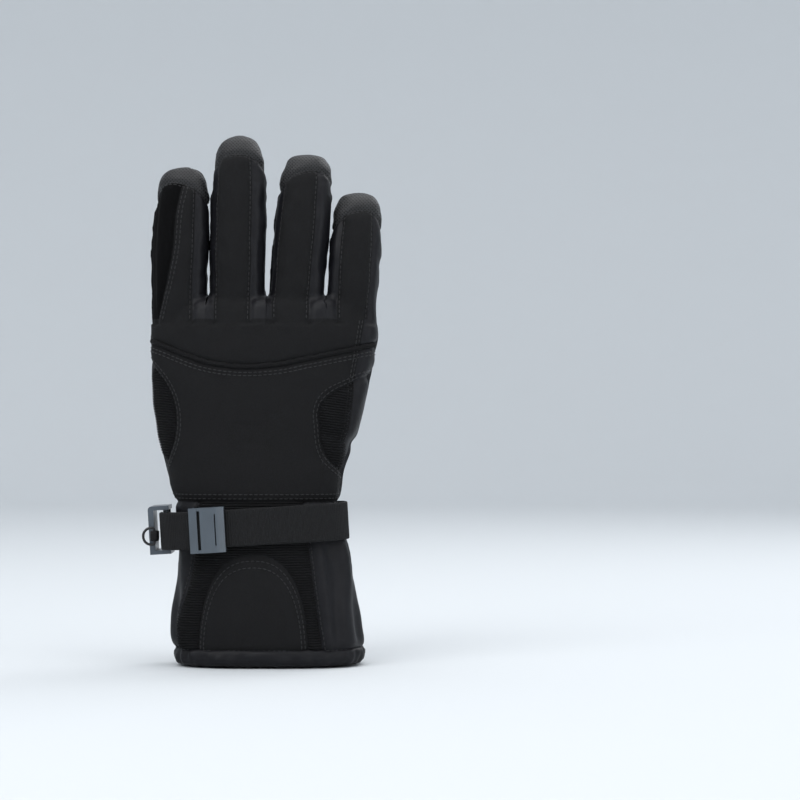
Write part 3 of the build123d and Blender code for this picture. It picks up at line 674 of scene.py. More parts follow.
def add_seams(skin):
    """Lays every seam on the skin."""
    everywhere = np.ones(len(skin.verts), bool)
    skin.seam("hem", skin.verts[:, 2] - HEM_TOP, everywhere)
    skin.seam("wrist", skin.verts[:, 2] - WRIST, everywhere)
    x, y, z = skin.verts.T
    back = y < HAND_Y
    trunk = (z < ROOT - 4.0) & ~skin.thumb
    skin.seam("edge", y - HAND_Y, (z < CUT + 2.0) & ~skin.thumb)
    for name, points in (("left_gusset", LEFT_GUSSET), ("right_gusset", RIGHT_GUSSET),
                         ("back_outer", BACK_OUTER)):
        skin.seam(name, up_line(points, z, x), trunk & back & (z > WRIST - 1.0))
        x, y, z = skin.verts.T
    for name, points in (("rib_left", RIB_LEFT), ("rib_right", RIB_RIGHT)):
        skin.seam(name, up_line(points, z, x), back & (z < WRIST + 1.0))
        x, y, z = skin.verts.T
    skin.seam("oval", oval_line(z, x), back & (z < WRIST))
    x, y, z = skin.verts.T
    skin.seam("piping", cross_line(PIPING, z, x), back & trunk & (z > 120.0))
    x, y, z = skin.verts.T
    for name, points in (("palm_left", PALM_CUFF_LEFT), ("palm_right", PALM_CUFF_RIGHT)):
        skin.seam(name, up_line(points, z, x), ~back & (z < WRIST + 1.0))
        x, y, z = skin.verts.T
    skin.seam("palm_outer", up_line(PALM_OUTER, z, x), ~back & trunk & (z > WRIST - 1.0))
    x, y, z = skin.verts.T
    skin.seam("grip_top", cross_line(GRIP_TOP, z, x), ~back & trunk & (z > 140.0))
    x, y, z = skin.verts.T
    skin.seam("inner", inner_line(z, x), ~back & trunk & (z > WRIST - 1.0))
    x, y, z = skin.verts.T
    skin.seam("finger_cut", z - CUT, ~skin.thumb)
    skin.seam("thumb_cut", z - THUMB_CUT, skin.thumb)
    x, y, z = skin.verts.T
    for k, name in enumerate(FINGERS):
        mine = (skin.digit == k) & (z > CUT - 3.0) & ~skin.thumb
        middle, centre_y, a, b = finger_line(name, np.clip(z, ROOT - 30.0, FINGER_TIP[name]))
        across = (x - middle) / np.maximum(a, 4.0)
        low_edge, high_edge = FINGER_EDGES[name]
        half = FINGER_HALF[name][0]
        if name == "index":
            skin.seam("suede", up_line(SUEDE, z, x), mine & (y < centre_y + 4.0))
        skin.seam(f"{name}_low", (across - low_edge) * half, mine & (y < centre_y))
        skin.seam(f"{name}_high", (across - high_edge) * half, mine & (y < centre_y))
        skin.seam(f"{name}_palm_low", (across + 0.66) * half, mine & (y > centre_y))
        skin.seam(f"{name}_palm_high", (across - 0.66) * half, mine & (y > centre_y))
        x, y, z = skin.verts.T
        front = np.clip((y - centre_y) / FINGER_HALF[name][1], -1.0, 1.0)
        tip = FINGER_TIP[name]
        lift = {"index": -0.28, "middle": -0.06, "ring": 0.24, "little": 0.2}[name]
        edge = tip - 7.5 - 11.5 * (front + 1.0) + lift * (x - middle) * (front < 0)
        skin.seam(f"{name}_cap", z - edge, mine)
        x, y, z = skin.verts.T
    on_thumb = skin.thumb & (z > THUMB_CUT - 2.0)
    shift = along(THUMB_FORM, np.clip(z, THUMB_FORM[0, 0], THUMB_TIP))
    middle = THUMB_X + shift[:, 0]
    palm_side = y > THUMB_Y
    skin.seam("thumb_patch", cross_line(THUMB_EDGE, z, x), on_thumb)
    x, y, z = skin.verts.T
    skin.seam("thumb_gusset", (x - middle) - 0.72 * np.maximum(shift[:, 1], 5.0), on_thumb & palm_side)
    skin.seam("thumb_back", (x - middle) - 0.2 * np.maximum(shift[:, 1], 5.0), on_thumb & ~palm_side)


def panel_names(skin):
    """The name of the panel each triangle belongs to, and that panel's body."""
    v = skin.verts[skin.tris].mean(1)
    x, y, z = v.T
    vote = skin.thumb[skin.tris].sum(1) > 1
    digit = skin.digit[skin.tris[:, 0]]
    back = ~skin.side("edge")
    names = np.full(len(v), "palm_panel", object)
    body = np.full(len(v), "glove", object)
    side = skin.side
    below_wrist = ~side("wrist")
    inside_ribs = back & side("rib_left") & ~side("rib_right")
    names[back & below_wrist] = "cuff_side_panels"
    names[inside_ribs & below_wrist] = "cuff_rib_panel"
    names[inside_ribs & below_wrist & ~side("oval")] = "cuff_centre_panel"
    names[~back & below_wrist] = "cuff_side_panels"
    names[~back & below_wrist & side("palm_left") & ~side("palm_right")] = "cuff_palm_panel"
    above = ~below_wrist
    names[above & back] = "lower_back_panel"
    names[above & back & side("piping") & (z > 140.0)] = "knuckle_panel"
    ribs = above & back & (names != "knuckle_panel")
    names[ribs & ~side("left_gusset") & (z < 172.0) & (x < 0)] = "rib_gussets"
    names[ribs & side("right_gusset") & (z < 158.0) & (x > 0)] = "rib_gussets"
    names[above & back & side("back_outer") & (x > 20.0)] = "outer_side_panel"
    palm = above & ~back
    names[palm & ~side("grip_top")] = "palm_grip_panel"
    names[palm & ~side("grip_top") & ~side("inner")] = "thumb_base_panel"
    names[palm & side("palm_outer") & (x > 20.0)] = "outer_side_panel"
    names[palm & side("grip_top") & (z > 178.5) & (x < 52.0)] = "finger_creases"
    names[vote & (z < THUMB_CUT + 2.0)] = "thumb_collar"
    on_finger = side("finger_cut") & ~vote
    for k, name in enumerate(FINGERS):
        mine = on_finger & (digit == k)
        middle, centre_y, a, b = finger_line(name, np.clip(z, ROOT - 30.0, FINGER_TIP[name]))
        finger_back = y < centre_y
        body[mine] = name
        names[mine] = f"{name}_sides"
        names[mine & finger_back & side(f"{name}_low") & ~side(f"{name}_high")] = f"{name}_back"
        names[mine & ~finger_back & side(f"{name}_palm_low") & ~side(f"{name}_palm_high")] = f"{name}_palm"
        if name == "index":
            names[mine & (y < centre_y + 4.0) & ~side("suede")] = "index_suede_panel"
        names[mine & side(f"{name}_cap")] = f"{name}_tip_cap"
    on_thumb = vote & side("thumb_cut")
    body[on_thumb] = "thumb"
    palm_side = y > THUMB_Y
    names[on_thumb] = "thumb_front_panel"
    names[on_thumb & ~palm_side] = "thumb_back_panel"
    names[on_thumb & side("thumb_patch")] = "thumb_patch"
    names[on_thumb & palm_side & side("thumb_gusset") & ~side("thumb_patch")] = "thumb_gusset"
    return names, body


def shape_cloth(skin, settings):
    """Presses the seams in, puffs the cloth between them and lays in soft folds."""
    push = np.zeros(len(skin.verts))
    near = np.full(len(skin.verts), 40.0)
    for name, value in skin.fields.items():
        if name in ("edge", "finger_cut", "thumb_cut"):
            continue
        gap = np.where(skin.masks[name], np.abs(value), 40.0)
        finger = "index" if name == "suede" else name.split("_")[0]
        cap = f"{finger}_cap" if finger in FINGERS else None
        if cap and name != cap:
            gap = np.where(skin.fields[cap] > -0.3, 40.0, gap)
        if name in ("thumb_gusset", "thumb_back"):
            gap = np.where(skin.fields["thumb_patch"] > -0.3, 40.0, gap)
        near = np.minimum(near, gap)
        push -= settings.seam_depth / MM * np.exp(-((gap / 1.7) ** 2))
    x, y, z = skin.verts.T
    push += settings.puff / MM * (1 - np.exp(-near / 7.0)) - 0.35 * settings.puff / MM
    folds = settings.folds / MM
    cuff = smooth(z, 4.0, 16.0) * (1 - smooth(z, WRIST - 8.0, WRIST + 4.0))
    outside = np.where(y < HAND_Y, smooth(np.abs(x + 4.0), 26.0, 42.0) + 0.12, 1.0)
    spin = np.stack([x, y, z * 0.22], 1)
    push += folds * 2.1 * cuff * outside * value_noise(spin, 8.0, 3)
    gather = np.exp(-(((z - 75.0) / 9.0) ** 2))
    push += gather * (folds * 0.7 * outside * value_noise(np.stack([x, y, z * 0.3], 1), 3.2, 5) - 0.8)
    on_finger = smooth(z, ROOT - 10.0, ROOT + 8.0) * (y > HAND_Y + 2.0)
    push += folds * 0.5 * on_finger * value_noise(np.stack([x * 0.3, y * 0.3, z], 1), 4.0, 7)
    push += folds * 0.28 * value_noise(skin.verts, 9.0, 11) + folds * 0.2 * value_noise(skin.verts, 21.0, 13)
    sides = smooth(z, ROOT - 6.0, ROOT + 8.0) * (y < HAND_Y + 4)
    push += folds * 0.25 * sides * value_noise(np.stack([x, y, z * 0.6], 1), 5.0, 17)
    pocket = skin.thumb & (z > 112.0)
    push += folds * 0.45 * pocket * value_noise(np.stack([x * 0.5, y, z], 1), 7.0, 19)
    gusset = (x > 33) & (z > 92) & (z < 154) & (y < HAND_Y + 6) & ~skin.thumb
    push += 1.4 * gusset * np.sin((z - 92) / 62
                                  * math.pi) - 1.6 * gusset * np.exp(-(((z - 122 + 0.5 * (x - 42))
                                          / 4.0) ** 2))
    inside = near > 30.0
    push = np.clip(push, -3.0, 2.8)
    normals = normals_of(skin.verts, skin.tris)
    smoothed = relax(normals, skin.edges, 3)
    smoothed /= np.maximum(np.linalg.norm(smoothed, axis=1, keepdims=True), 1e-6)
    skin.verts = skin.verts + smoothed * push[:, None] * np.where(inside, 0.8, 1.0)[:, None]
    skin.normals = normals_of(skin.verts, skin.tris)


def patch(skin, chosen, thickness):
    """A closed sheet cut from the skin: points, triangles and the normal of each point."""
    tris = skin.tris[chosen]
    used, local = np.unique(tris, return_inverse=True)
    local = local.reshape(-1, 3)
    outer, normal = skin.verts[used], skin.normals[used]
    count = len(used)
    pairs = np.concatenate([local[:, [0, 1]], local[:, [1, 2]], local[:, [2, 0]]])
    codes = pairs[:, 0] * count + pairs[:, 1]
    backs = pairs[:, 1] * count + pairs[:, 0]
    rim = pairs[~np.isin(codes, backs)]
    a, b = rim.T
    faces = np.concatenate([local, local[:, ::-1] + count, np.stack([b, a, a + count], 1),
                            np.stack([b, a + count, b + count], 1)])
    return np.concatenate([outer, outer - normal * thickness]), faces, np.concatenate([normal, -normal])


def contour(skin, value, level, mask):
    """The line where value passes level: points, edges and the skin's normal at each point."""
    shifted = value - level
    edges = skin.edges
    a, b = shifted[edges[:, 0]], shifted[edges[:, 1]]
    crossing = ((a < 0) != (b < 0)) & mask[edges[:, 0]] & mask[edges[:, 1]]
    number = np.full(len(edges), -1)
    number[crossing] = np.arange(crossing.sum())
    share = (a[crossing] / (a[crossing] - b[crossing]))[:, None]
    ends = edges[crossing]
    points = skin.verts[ends[:, 0]] * (1 - share) + skin.verts[ends[:, 1]] * share
    normals = skin.normals[ends[:, 0]] * (1 - share) + skin.normals[ends[:, 1]] * share
    size = len(skin.verts)
    keys = edges[:, 0] * size + edges[:, 1]
    found = []
    for i, j in ((0, 1), (1, 2), (2, 0)):
        pair = np.sort(skin.tris[:, [i, j]], axis=1)
        found.append(number[np.searchsorted(keys, pair[:, 0] * size + pair[:, 1])])
    found = np.sort(np.stack(found, 1), axis=1)
    hits = (found[:, 1] >= 0) & (found[:, 0] < 0)
    return points, found[hits][:, 1:], normals


def join_lines(lines):
    """Several contours as one."""
    points = np.concatenate([line[0] for line in lines])
    normals = np.concatenate([line[2] for line in lines])
    edges, base = [], 0
    for line in lines:
        edges.append(line[1] + base)
        base += len(line[0])
    return points, np.concatenate(edges), normals


def line_object(name, line):
    """A mesh of lines that carries the cloth's normal, for the node trees."""
    obj = make_object(name, line[0], [], edges=[tuple(int(i) for i in e) for e in line[1]])
    lift = obj.data.attributes.new("lift", "FLOAT_VECTOR", "POINT")
    lift.data.foreach_set("vector", np.asarray(line[2], np.float32).ravel())
    return obj


# ------------------------------------------------------------------ node trees
def new_tree(name, inputs):
    """An empty geometry tree with named inputs: (name, socket type, default, subtype)."""
    tree = bpy.data.node_groups.new(name, "GeometryNodeTree")
    tree.interface.new_socket(name="Geometry", in_out="INPUT", socket_type="NodeSocketGeometry")
    for label, kind, default in inputs:
        socket = tree.interface.new_socket(name=label, in_out="INPUT", socket_type=kind)
        if default is not None:
            socket.default_value = default
    tree.interface.new_socket(name="Geometry", in_out="OUTPUT", socket_type="NodeSocketGeometry")
    return tree, node(tree, "NodeGroupInput"), node(tree, "NodeGroupOutput")


def end_tree(tree, geometry, source, target):
    """Ends a tree with real geometry and one material."""
    real = node(tree, "GeometryNodeRealizeInstances")
    paint = node(tree, "GeometryNodeSetMaterial")
    tree.links.new(geometry, real.inputs["Geometry"])
    tree.links.new(real.outputs["Geometry"], paint.inputs["Geometry"])
    tree.links.new(source.outputs["Material"], paint.inputs["Material"])
    tree.links.new(paint.outputs["Geometry"], target.inputs["Geometry"])


def raised(tree, source, geometry):
    """Moves a line off the cloth along the normal it carries."""
    lift = node(tree, "GeometryNodeInputNamedAttribute", data_type="FLOAT_VECTOR")
    lift.inputs["Name"].default_value = "lift"
    scale = node(tree, "ShaderNodeVectorMath", operation="SCALE")
    place = node(tree, "GeometryNodeSetPosition")
    tree.links.new(lift.outputs["Attribute"], scale.inputs[0])
    tree.links.new(source.outputs["Raise"], scale.inputs["Scale"])
    tree.links.new(geometry, place.inputs["Geometry"])
    tree.links.new(scale.outputs["Vector"], place.inputs["Offset"])
    return place.outputs["Geometry"], lift


def stitch_tree():
    """Lays one rounded stitch after another along each line."""
    tree, source, target = new_tree("stitch_rows", [
        ("Pitch", "NodeSocketFloat", 0.0027), ("Length", "NodeSocketFloat", 0.0021), ("Thickness",
                "NodeSocketFloat", 0.0003),
        ("Raise", "NodeSocketFloat", 0.0001), ("Material", "NodeSocketMaterial", None)])
    curve = node(tree, "GeometryNodeMeshToCurve")
    spaced = node(tree, "GeometryNodeResampleCurve", mode="LENGTH")
    tangent = node(tree, "GeometryNodeInputTangent")
    keep = node(tree, "GeometryNodeCaptureAttribute")
    keep.capture_items.new("VECTOR", "Tangent")
    bead = node(tree, "GeometryNodeMeshIcoSphere")
    bead.inputs["Subdivisions"].default_value = 2
    bead.inputs["Radius"].default_value = 0.5
    size = node(tree, "ShaderNodeCombineXYZ")
    shaped = node(tree, "GeometryNodeTransform")
    turn = node(tree, "FunctionNodeAxesToRotation", primary_axis="X", secondary_axis="Z")
    put = node(tree, "GeometryNodeInstanceOnPoints")
    link = tree.links.new
    link(source.outputs["Geometry"], curve.inputs["Mesh"])
    link(curve.outputs["Curve"], spaced.inputs["Curve"])
    link(source.outputs["Pitch"], spaced.inputs["Length"])
    link(spaced.outputs["Curve"], keep.inputs["Geometry"])
    link(tangent.outputs["Tangent"], keep.inputs["Tangent"])
    lifted, lift = raised(tree, source, keep.outputs["Geometry"])
    link(source.outputs["Length"], size.inputs["X"])
    link(source.outputs["Thickness"], size.inputs["Y"])
    link(source.outputs["Thickness"], size.inputs["Z"])
    link(bead.outputs["Mesh"], shaped.inputs["Geometry"])
    link(size.outputs["Vector"], shaped.inputs["Scale"])
    link(keep.outputs["Tangent"], turn.inputs["Primary Axis"])
    link(lift.outputs["Attribute"], turn.inputs["Secondary Axis"])
    link(lifted, put.inputs["Points"])
    link(shaped.outputs["Geometry"], put.inputs["Instance"])
    link(turn.outputs["Rotation"], put.inputs["Rotation"])
    end_tree(tree, put.outputs["Instances"], source, target)
    return tree


def cord_tree():
    """Runs a round cord along each line."""
    tree, source, target = new_tree("cord_rows", [
        ("Radius", "NodeSocketFloat", 0.0006), ("Raise", "NodeSocketFloat", 0.0), ("Step", "NodeSocketFloat",
                0.0015),
        ("Sides", "NodeSocketInt", 6), ("Material", "NodeSocketMaterial", None)])
    curve = node(tree, "GeometryNodeMeshToCurve")
    spaced = node(tree, "GeometryNodeResampleCurve", mode="LENGTH")
    circle = node(tree, "GeometryNodeCurvePrimitiveCircle", mode="RADIUS")
    sweep = node(tree, "GeometryNodeCurveToMesh")
    sweep.inputs["Fill Caps"].default_value = True
    soft = node(tree, "GeometryNodeSetShadeSmooth")
    link = tree.links.new
    link(source.outputs["Geometry"], curve.inputs["Mesh"])
    link(curve.outputs["Curve"], spaced.inputs["Curve"])
    link(source.outputs["Step"], spaced.inputs["Length"])
    lifted, _ = raised(tree, source, spaced.outputs["Curve"])
    link(source.outputs["Radius"], circle.inputs["Radius"])
    link(source.outputs["Sides"], circle.inputs["Resolution"])
    link(lifted, sweep.inputs["Curve"])
    link(circle.outputs["Curve"], sweep.inputs["Profile Curve"])
    link(sweep.outputs["Mesh"], soft.inputs["Geometry"])
    end_tree(tree, soft.outputs["Geometry"], source, target)
    return tree


def grow(obj, tree, material, **values):
    """Runs a tree on an object with its inputs set, and keeps the result as a plain mesh."""
    modifier = obj.modifiers.new("grow", "NODES")
    modifier.node_group = tree
    wanted = {**{key.replace("_", " "): value for key, value in values.items()}, "Material": material}
    for item in tree.interface.items_tree:
        if item.item_type == "SOCKET" and item.in_out == "INPUT" and item.name in wanted:
            modifier[item.identifier] = wanted[item.name]
    applied(obj)
    if not len(obj.data.polygons):
        raise RuntimeError(f"{obj.name} came out empty")
    obj.data.polygons.foreach_set("use_smooth", [True] * len(obj.data.polygons))
    return obj


def attach(obj, body):
    """Makes a cloth piece bend with its digit, or ride on the glove."""
    if body in FINGERS:
        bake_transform(obj)
    elif body == "thumb":
        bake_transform(obj)
    else:
        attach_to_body(obj, body)


SLOTS = {part["node"]: part["material_slot"] for part in frame["record"]["subparts"]}
SKIN = {}


def make_shell(settings):
    """Builds the outer cloth, one object for each panel."""
    skin = Skin(settings.cell / MM)
    add_seams(skin)
    names, body = panel_names(skin)
    shape_cloth(skin, settings)
    keep = skin.side("hem")
    SKIN.update(skin=skin, names=names)
    for panel in sorted(set(names)):
        chosen = (names == panel) & keep
        if not chosen.any():
            raise RuntimeError(f"panel {panel} is empty")
        owner = max(set(body[chosen]), key=list(body[chosen]).count)
        chosen &= body == owner
        points, faces, normals = patch(skin, chosen, settings.cloth / MM)
        slot = SLOTS[panel]
        obj = make_object(f"shell_{panel}", points, faces.tolist(), MATERIALS[slot])
        obj.data.normals_split_custom_set_from_vertices(normals.tolist())
        attach(obj, owner)
        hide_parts(panel)


STITCH_ROWS = [
    ("piping", (-3.3, -5.0), "back"), ("left_gusset", (1.6, 3.4), "gusset"), ("right_gusset", (-1.6, -3.4),
            "gusset"),
    ("back_outer", (-1.6, -3.3), "outer"), ("rib_left", (-1.4,), "cuff"), ("rib_right", (1.4,), "cuff"),
    ("oval", (-1.8, -3.6), "oval"), ("hem", (0.6,), "all"), ("wrist", (2.0, 4.2), "lower_back"),
    ("palm_outer", (-1.5, -3.2), "palm"), ("grip_top", (-1.5, -3.2), "palm_grip"), ("inner", (1.5, 3.2),
            "inner"),
    ("palm_left", (-1.4,), "cuff"), ("palm_right", (1.4,), "cuff"),
]


def stitch_lines(skin):
    """Every row of stitching, by the body it bends with."""
    x, y, z = skin.verts.T
    off_thumb = ~skin.thumb
    knuckle = cross_line(PIPING, z, x)
    left, right, outer = up_line(LEFT_GUSSET, z, x), up_line(RIGHT_GUSSET, z, x), up_line(BACK_OUTER, z, x)
    where = {
        "back": z > 0,
        "gusset": (knuckle < -5.0) & (z > WRIST + 3),
        "outer": z < ROOT - 11.0,
        "cuff": (z > 9.5) & (z < WRIST - 2),
        "oval": z > 9.5,
        "all": z > 0,
        "lower_back": (y < HAND_Y) & (left > 2.0) & (right < -2.0),
        "palm": (z > WRIST + 2) & (z < ROOT - 11.0) & off_thumb,
        "palm_grip": (x > -50) & (x < 50) & off_thumb,
        "inner": (z > WRIST + 4) & off_thumb & (x > -58) & (x < 27),
    }
    rows = {name: [] for name in (*FINGERS, "thumb", "glove")}
    for seam, levels, place in STITCH_ROWS:
        for level in levels:
            mask = skin.masks[seam] & where[place]
            rows["glove"].append(contour(skin, skin.fields[seam], level, mask))
    for k, name in enumerate(FINGERS):
        mine = (skin.digit == k) & (z > CUT + 0.5) & off_thumb
        cap = skin.fields[f"{name}_cap"]
        for seam, levels in ((f"{name}_low", (1.4,)), (f"{name}_high", (-1.4,)),
                             (f"{name}_palm_low", (1.4, 3.0)),
                             (f"{name}_palm_high", (-1.4, -3.0))):
            if seam == "index_low":
                continue
            for level in levels:
                rows[name].append(contour(skin, skin.fields[seam], level,
                                          mine & skin.masks[seam] & (cap < -1.5)))
        rows[name].append(contour(skin, cap, -1.5, mine & skin.masks[f"{name}_cap"]))
    index = (skin.digit == 0) & (z > CUT
                                 + 0.5) & off_thumb & skin.masks["suede"] & (skin.fields["index_cap"] < -1.5)
    for level in (1.5, 3.4):
        rows["index"].append(contour(skin, skin.fields["suede"], level, index))
    on_thumb = skin.thumb & (z > THUMB_CUT + 2)
    for level in (1.6, 3.4):
        rows["thumb"].append(contour(skin, skin.fields["thumb_patch"], level,
                                     on_thumb & skin.masks["thumb_patch"]))
    edge = skin.fields["thumb_patch"]
    for level in (-1.5, -3.2):
        rows["thumb"].append(contour(skin, skin.fields["thumb_gusset"], level,
                                     on_thumb & skin.masks["thumb_gusset"] & (edge < -2.0)))
    return rows


def make_stitching(settings):
    """Sews every seam, and lays the cords of the rib knit and the knuckle piping."""
    skin, names = SKIN["skin"], SKIN["names"]
    tree = stitch_tree()
    for owner, lines in stitch_lines(skin).items():
        obj = line_object(f"stitching_{owner}", join_lines(lines))
        grow(obj, tree, MATERIALS["thread"], Pitch=settings.pitch, Length=settings.pitch * 0.8,
             Thickness=settings.thread,
             Raise=settings.thread * 0.15)
        attach(obj, owner)
    cords = cord_tree()
    seam = contour(skin, skin.fields["piping"], 0.0, skin.masks["piping"])
    piping = grow(line_object("knuckle_cord", seam), cords, MATERIALS["rib_knit"], Radius=settings.piping,
                  Raise=0.0009, Sides=12)
    attach(piping, "glove")
    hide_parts("knuckle_piping")
    for panel in ("rib_gussets", "cuff_rib_panel"):
        inside = np.zeros(len(skin.verts), bool)
        inside[skin.tris[names == panel].ravel()] = True
        x, y, z = skin.verts.T
        sag = z + (0.0 if panel == "cuff_rib_panel" else 0.12) * x
        low_z, high_z = sag[inside].min(), sag[inside].max()
        rows = [contour(skin, sag, level, inside & (z > HEM_TOP + 0.8))
                for level in np.arange(low_z, high_z, settings.rib / MM)]
        ribs = line_object(f"ribs_{panel}", join_lines([row for row in rows if len(row[1])]))
        grow(ribs, cords, MATERIALS["rib_knit"], Radius=settings.rib * 0.42, Raise=settings.rib * 0.1)
        attach(ribs, "glove")


# ------------------------------------------------------- what the shell holds
def layer(rings, inner_rings):
    """A closed two-walled layer, open at its lower end."""
    count = len(rings[0])
    outer, outer_faces = tube(rings, close_low=False)
    inner, inner_faces = tube(inner_rings, close_low=False)
    base = len(outer)
    faces = outer_faces + [tuple(base + i for i in reversed(face)) for face in inner_faces]
    faces += [((i + 1) % count, i, base + i, base + (i + 1) % count) for i in range(count)]
    return outer + inner, faces


def ring_layer(inset, deep, low_z, high_z, step=3.0):
    """A band of the hand or cuff between two insets, open at both ends."""
    outer, inner = trunk_rings(inset, low_z, high_z, step), trunk_rings(inset + deep, low_z, high_z, step)
    loops = outer + inner[::-1]
    count = len(loops[0])
    points = [tuple(p) for loop in loops for p in loop]
    faces = []
    for k in range(len(loops)):
        a, b = k * count, ((k + 1) % len(loops)) * count
        faces += [(a + i, a + (i + 1) % count, b + (i + 1) % count, b + i) for i in range(count)]
    return points, faces


def hidden_piece(name, shape, owner, replaced):
    """One layer of padding, lining or elastic."""
    slot = SLOTS[replaced[0]]
    obj = make_object(name, *shape, MATERIALS["rib_knit" if slot == "elastic" else slot])
    attach(obj, owner)
    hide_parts(*replaced)
    return obj


def make_inside(settings):
    """Padding and fleece inside the shell, the shirred elastic, the webs and the hem."""
    pad, fleece = settings.padding_depth / MM, 0.9
    skin_in = 4.5
    lining_in = skin_in + pad + 0.3
    hidden_piece("padding_cuff", ring_layer(skin_in, pad, 6.0, 70.0), "glove", ["cuff_insulation"])
    hidden_piece("padding_hand", ring_layer(skin_in + 0.8, pad, 82.0, 178.0), "glove", ["hand_insulation"])
    hidden_piece("lining_cuff", ring_layer(lining_in, fleece, 3.0, 79.0), "glove", ["cuff_lining"])
    hidden_piece("lining_hand", ring_layer(lining_in + 0.8, fleece, 80.0, 176.0), "glove", ["hand_lining"])
    hidden_piece("elastic_band", ring_layer(skin_in + 0.4, 1.0, 71.0, 81.0, 2.5), "glove", ["wrist_elastic"])
    for name in FINGERS:
        for label, inset, deep, node_name, fill in (("padding", skin_in, pad, "insulation", 0.7),
                                                    ("lining", lining_in, fleece, "lining", None)):
            inner = finger_rings(name, inset + deep, CUT + 1.0)
            outer = finger_rings(name, inset, CUT + 1.0)
            hidden_piece(f"{label}_{name}", layer(outer, inner), name, [f"{name}_{node_name}"])
    for label, inset, deep, node_name, fill in (("padding", skin_in, pad, "insulation", 0.7),
                                                ("lining", lining_in, fleece, "lining", None)):
        hidden_piece(f"{label}_thumb", layer(thumb_rings(inset, 108.0), thumb_rings(inset + deep, 108.0)),
                     "thumb",
                     [f"thumb_{node_name}"])
    pads, faces = [], []
    for k in range(3):
        first, second = finger_line(FINGERS[k], ROOT), finger_line(FINGERS[k + 1], ROOT)
        middle = (first[0] + first[2] + second[0] - second[2]) / 2
        rings = [ring_points(middle, HAND_Y, ROOT - 14.0 + 7.0 * (1 - math.cos(t)), 5.5 * math.sin(t) + 0.3,
                             9.5 * math.sin(t) + 0.3,
                             2.2, 24) for t in np.linspace(0.05, math.pi - 0.05, 14)]
        points, more = tube(rings)
        base = len(pads)
        pads += points
        faces += [tuple(base + i for i in face) for face in more]
    hidden_piece("webs_of_fingers", (pads, faces), "glove", ["finger_web"])


def make_hem(settings):
    """The rolled binding round the cuff mouth."""
    section = [(1.0, 8.8), (0.2, 7.2), (-0.4, 5.4), (-0.6, 3.6), (-0.4, 1.9), (0.4, 0.7), (1.8, 0.1),
               (3.8, 0.0), (5.6, 0.6),
               (6.8, 2.0), (7.2, 4.0), (7.0, 7.0), (6.0, 8.8), (3.0, 9.2)]
    loops = []
    for inset, z in section:
        left, right, depth = along(TRUNK, z)
        loop = ring_points((left + right) / 2, HAND_Y, z, (right - left) / 2 - inset, depth / 2 - inset,
                           TRUNK_ROUND, 220)
        turn = np.arange(220) * (2 * math.pi / 220)
        ripple = 0.4 * np.sin(turn * 19 + 1.9 * np.sin(turn * 5) + 0.3 * z) + 0.28 * np.sin(turn * 34 + 2.4
                * np.sin(turn * 3) - 0.4 * z)
        weight = 1.0 if 0.5 < z < 7.5 and inset < 1.0 else 0.0
        middle = loop.mean(0)
        outward = (loop - middle) / np.linalg.norm(loop - middle, axis=1, keepdims=True)
        loops.append(loop + outward * ripple[:, None] * weight)
    points = [tuple(p) for loop in loops for p in loop]
    faces = []
    for k in range(len(loops)):
        a, b = k * 220, ((k + 1) % len(loops)) * 220
        faces += [(b + i, b + (i + 1) % 220, a + (i + 1) % 220, a + i) for i in range(220)]
    obj = make_object("hem_roll", points, faces, MATERIALS["nylon"])
    attach(obj, "glove")
    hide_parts("hem_binding")


# ------------------------------------------------------------------ strap parts
STRAP_Z = 75.0
STRAP_TILT = math.radians(3.4)
STRAP_HALF = 10.0
STRAP_V = -28.6
CORNER = 19.0


def webbing(name, path, thickness, settings):
    """Ribbed webbing that stands on edge along a path of (across, through) points."""
    path = np.asarray(path, float)
    step = np.linalg.norm(np.diff(path, axis=0), axis=1)
    length = np.concatenate([[0.0], np.cumsum(step)])
    pitch = settings.web_rib / MM
    places = np.arange(0.0, length[-1], pitch / 5)
    u, v = np.interp(places, length, path[:, 0]), np.interp(places, length, path[:, 1])
    du, dv = np.gradient(u), np.gradient(v)
    size = np.hypot(du, dv)
    nu, nv = dv / size, -du / size
    rib = 0.24 * (0.5 + 0.5 * np.cos(2 * math.pi * places / pitch))
    outline = [(-1.0, 0.5), (-0.96, 0.92), (-0.86, 1.0), (-0.5, 1.0), (0.0, 1.0), (0.5, 1.0), (0.86, 1.0),
               (0.96, 0.92), (1.0, 0.5)]
    outline += [(w, -t) for w, t in reversed(outline)]
    points = []
    for k in range(len(places)):
        for w, t in outline:
            out = t * (thickness / 2 - 0.24 + rib[k])
            along_u, through, high_w = u[k] + nu[k] * out, v[k] + nv[k] * out, w * STRAP_HALF
            points.append((along_u * math.cos(STRAP_TILT) - high_w * math.sin(STRAP_TILT), HAND_Y + through,
                           STRAP_Z + along_u * math.sin(STRAP_TILT) + high_w * math.cos(STRAP_TILT)))
    count = len(outline)
    faces = [(k * count + i, (k + 1) * count + i, (k + 1) * count + (i + 1) % count,
              k * count + (i + 1) % count)
             for k in range(len(places) - 1) for i in range(count)]
    faces += [tuple(range(count)), tuple(reversed(range((len(places) - 1) * count, len(places) * count)))]
    return make_object(name, points, faces, MATERIALS["webbing"])


def arc(cx, cy, radius, start, end, count=14):
    """Points of an arc, in degrees."""
    turn = np.radians(np.linspace(start, end, count))
    return [(cx + radius * math.cos(t), cy + radius * math.sin(t)) for t in turn]


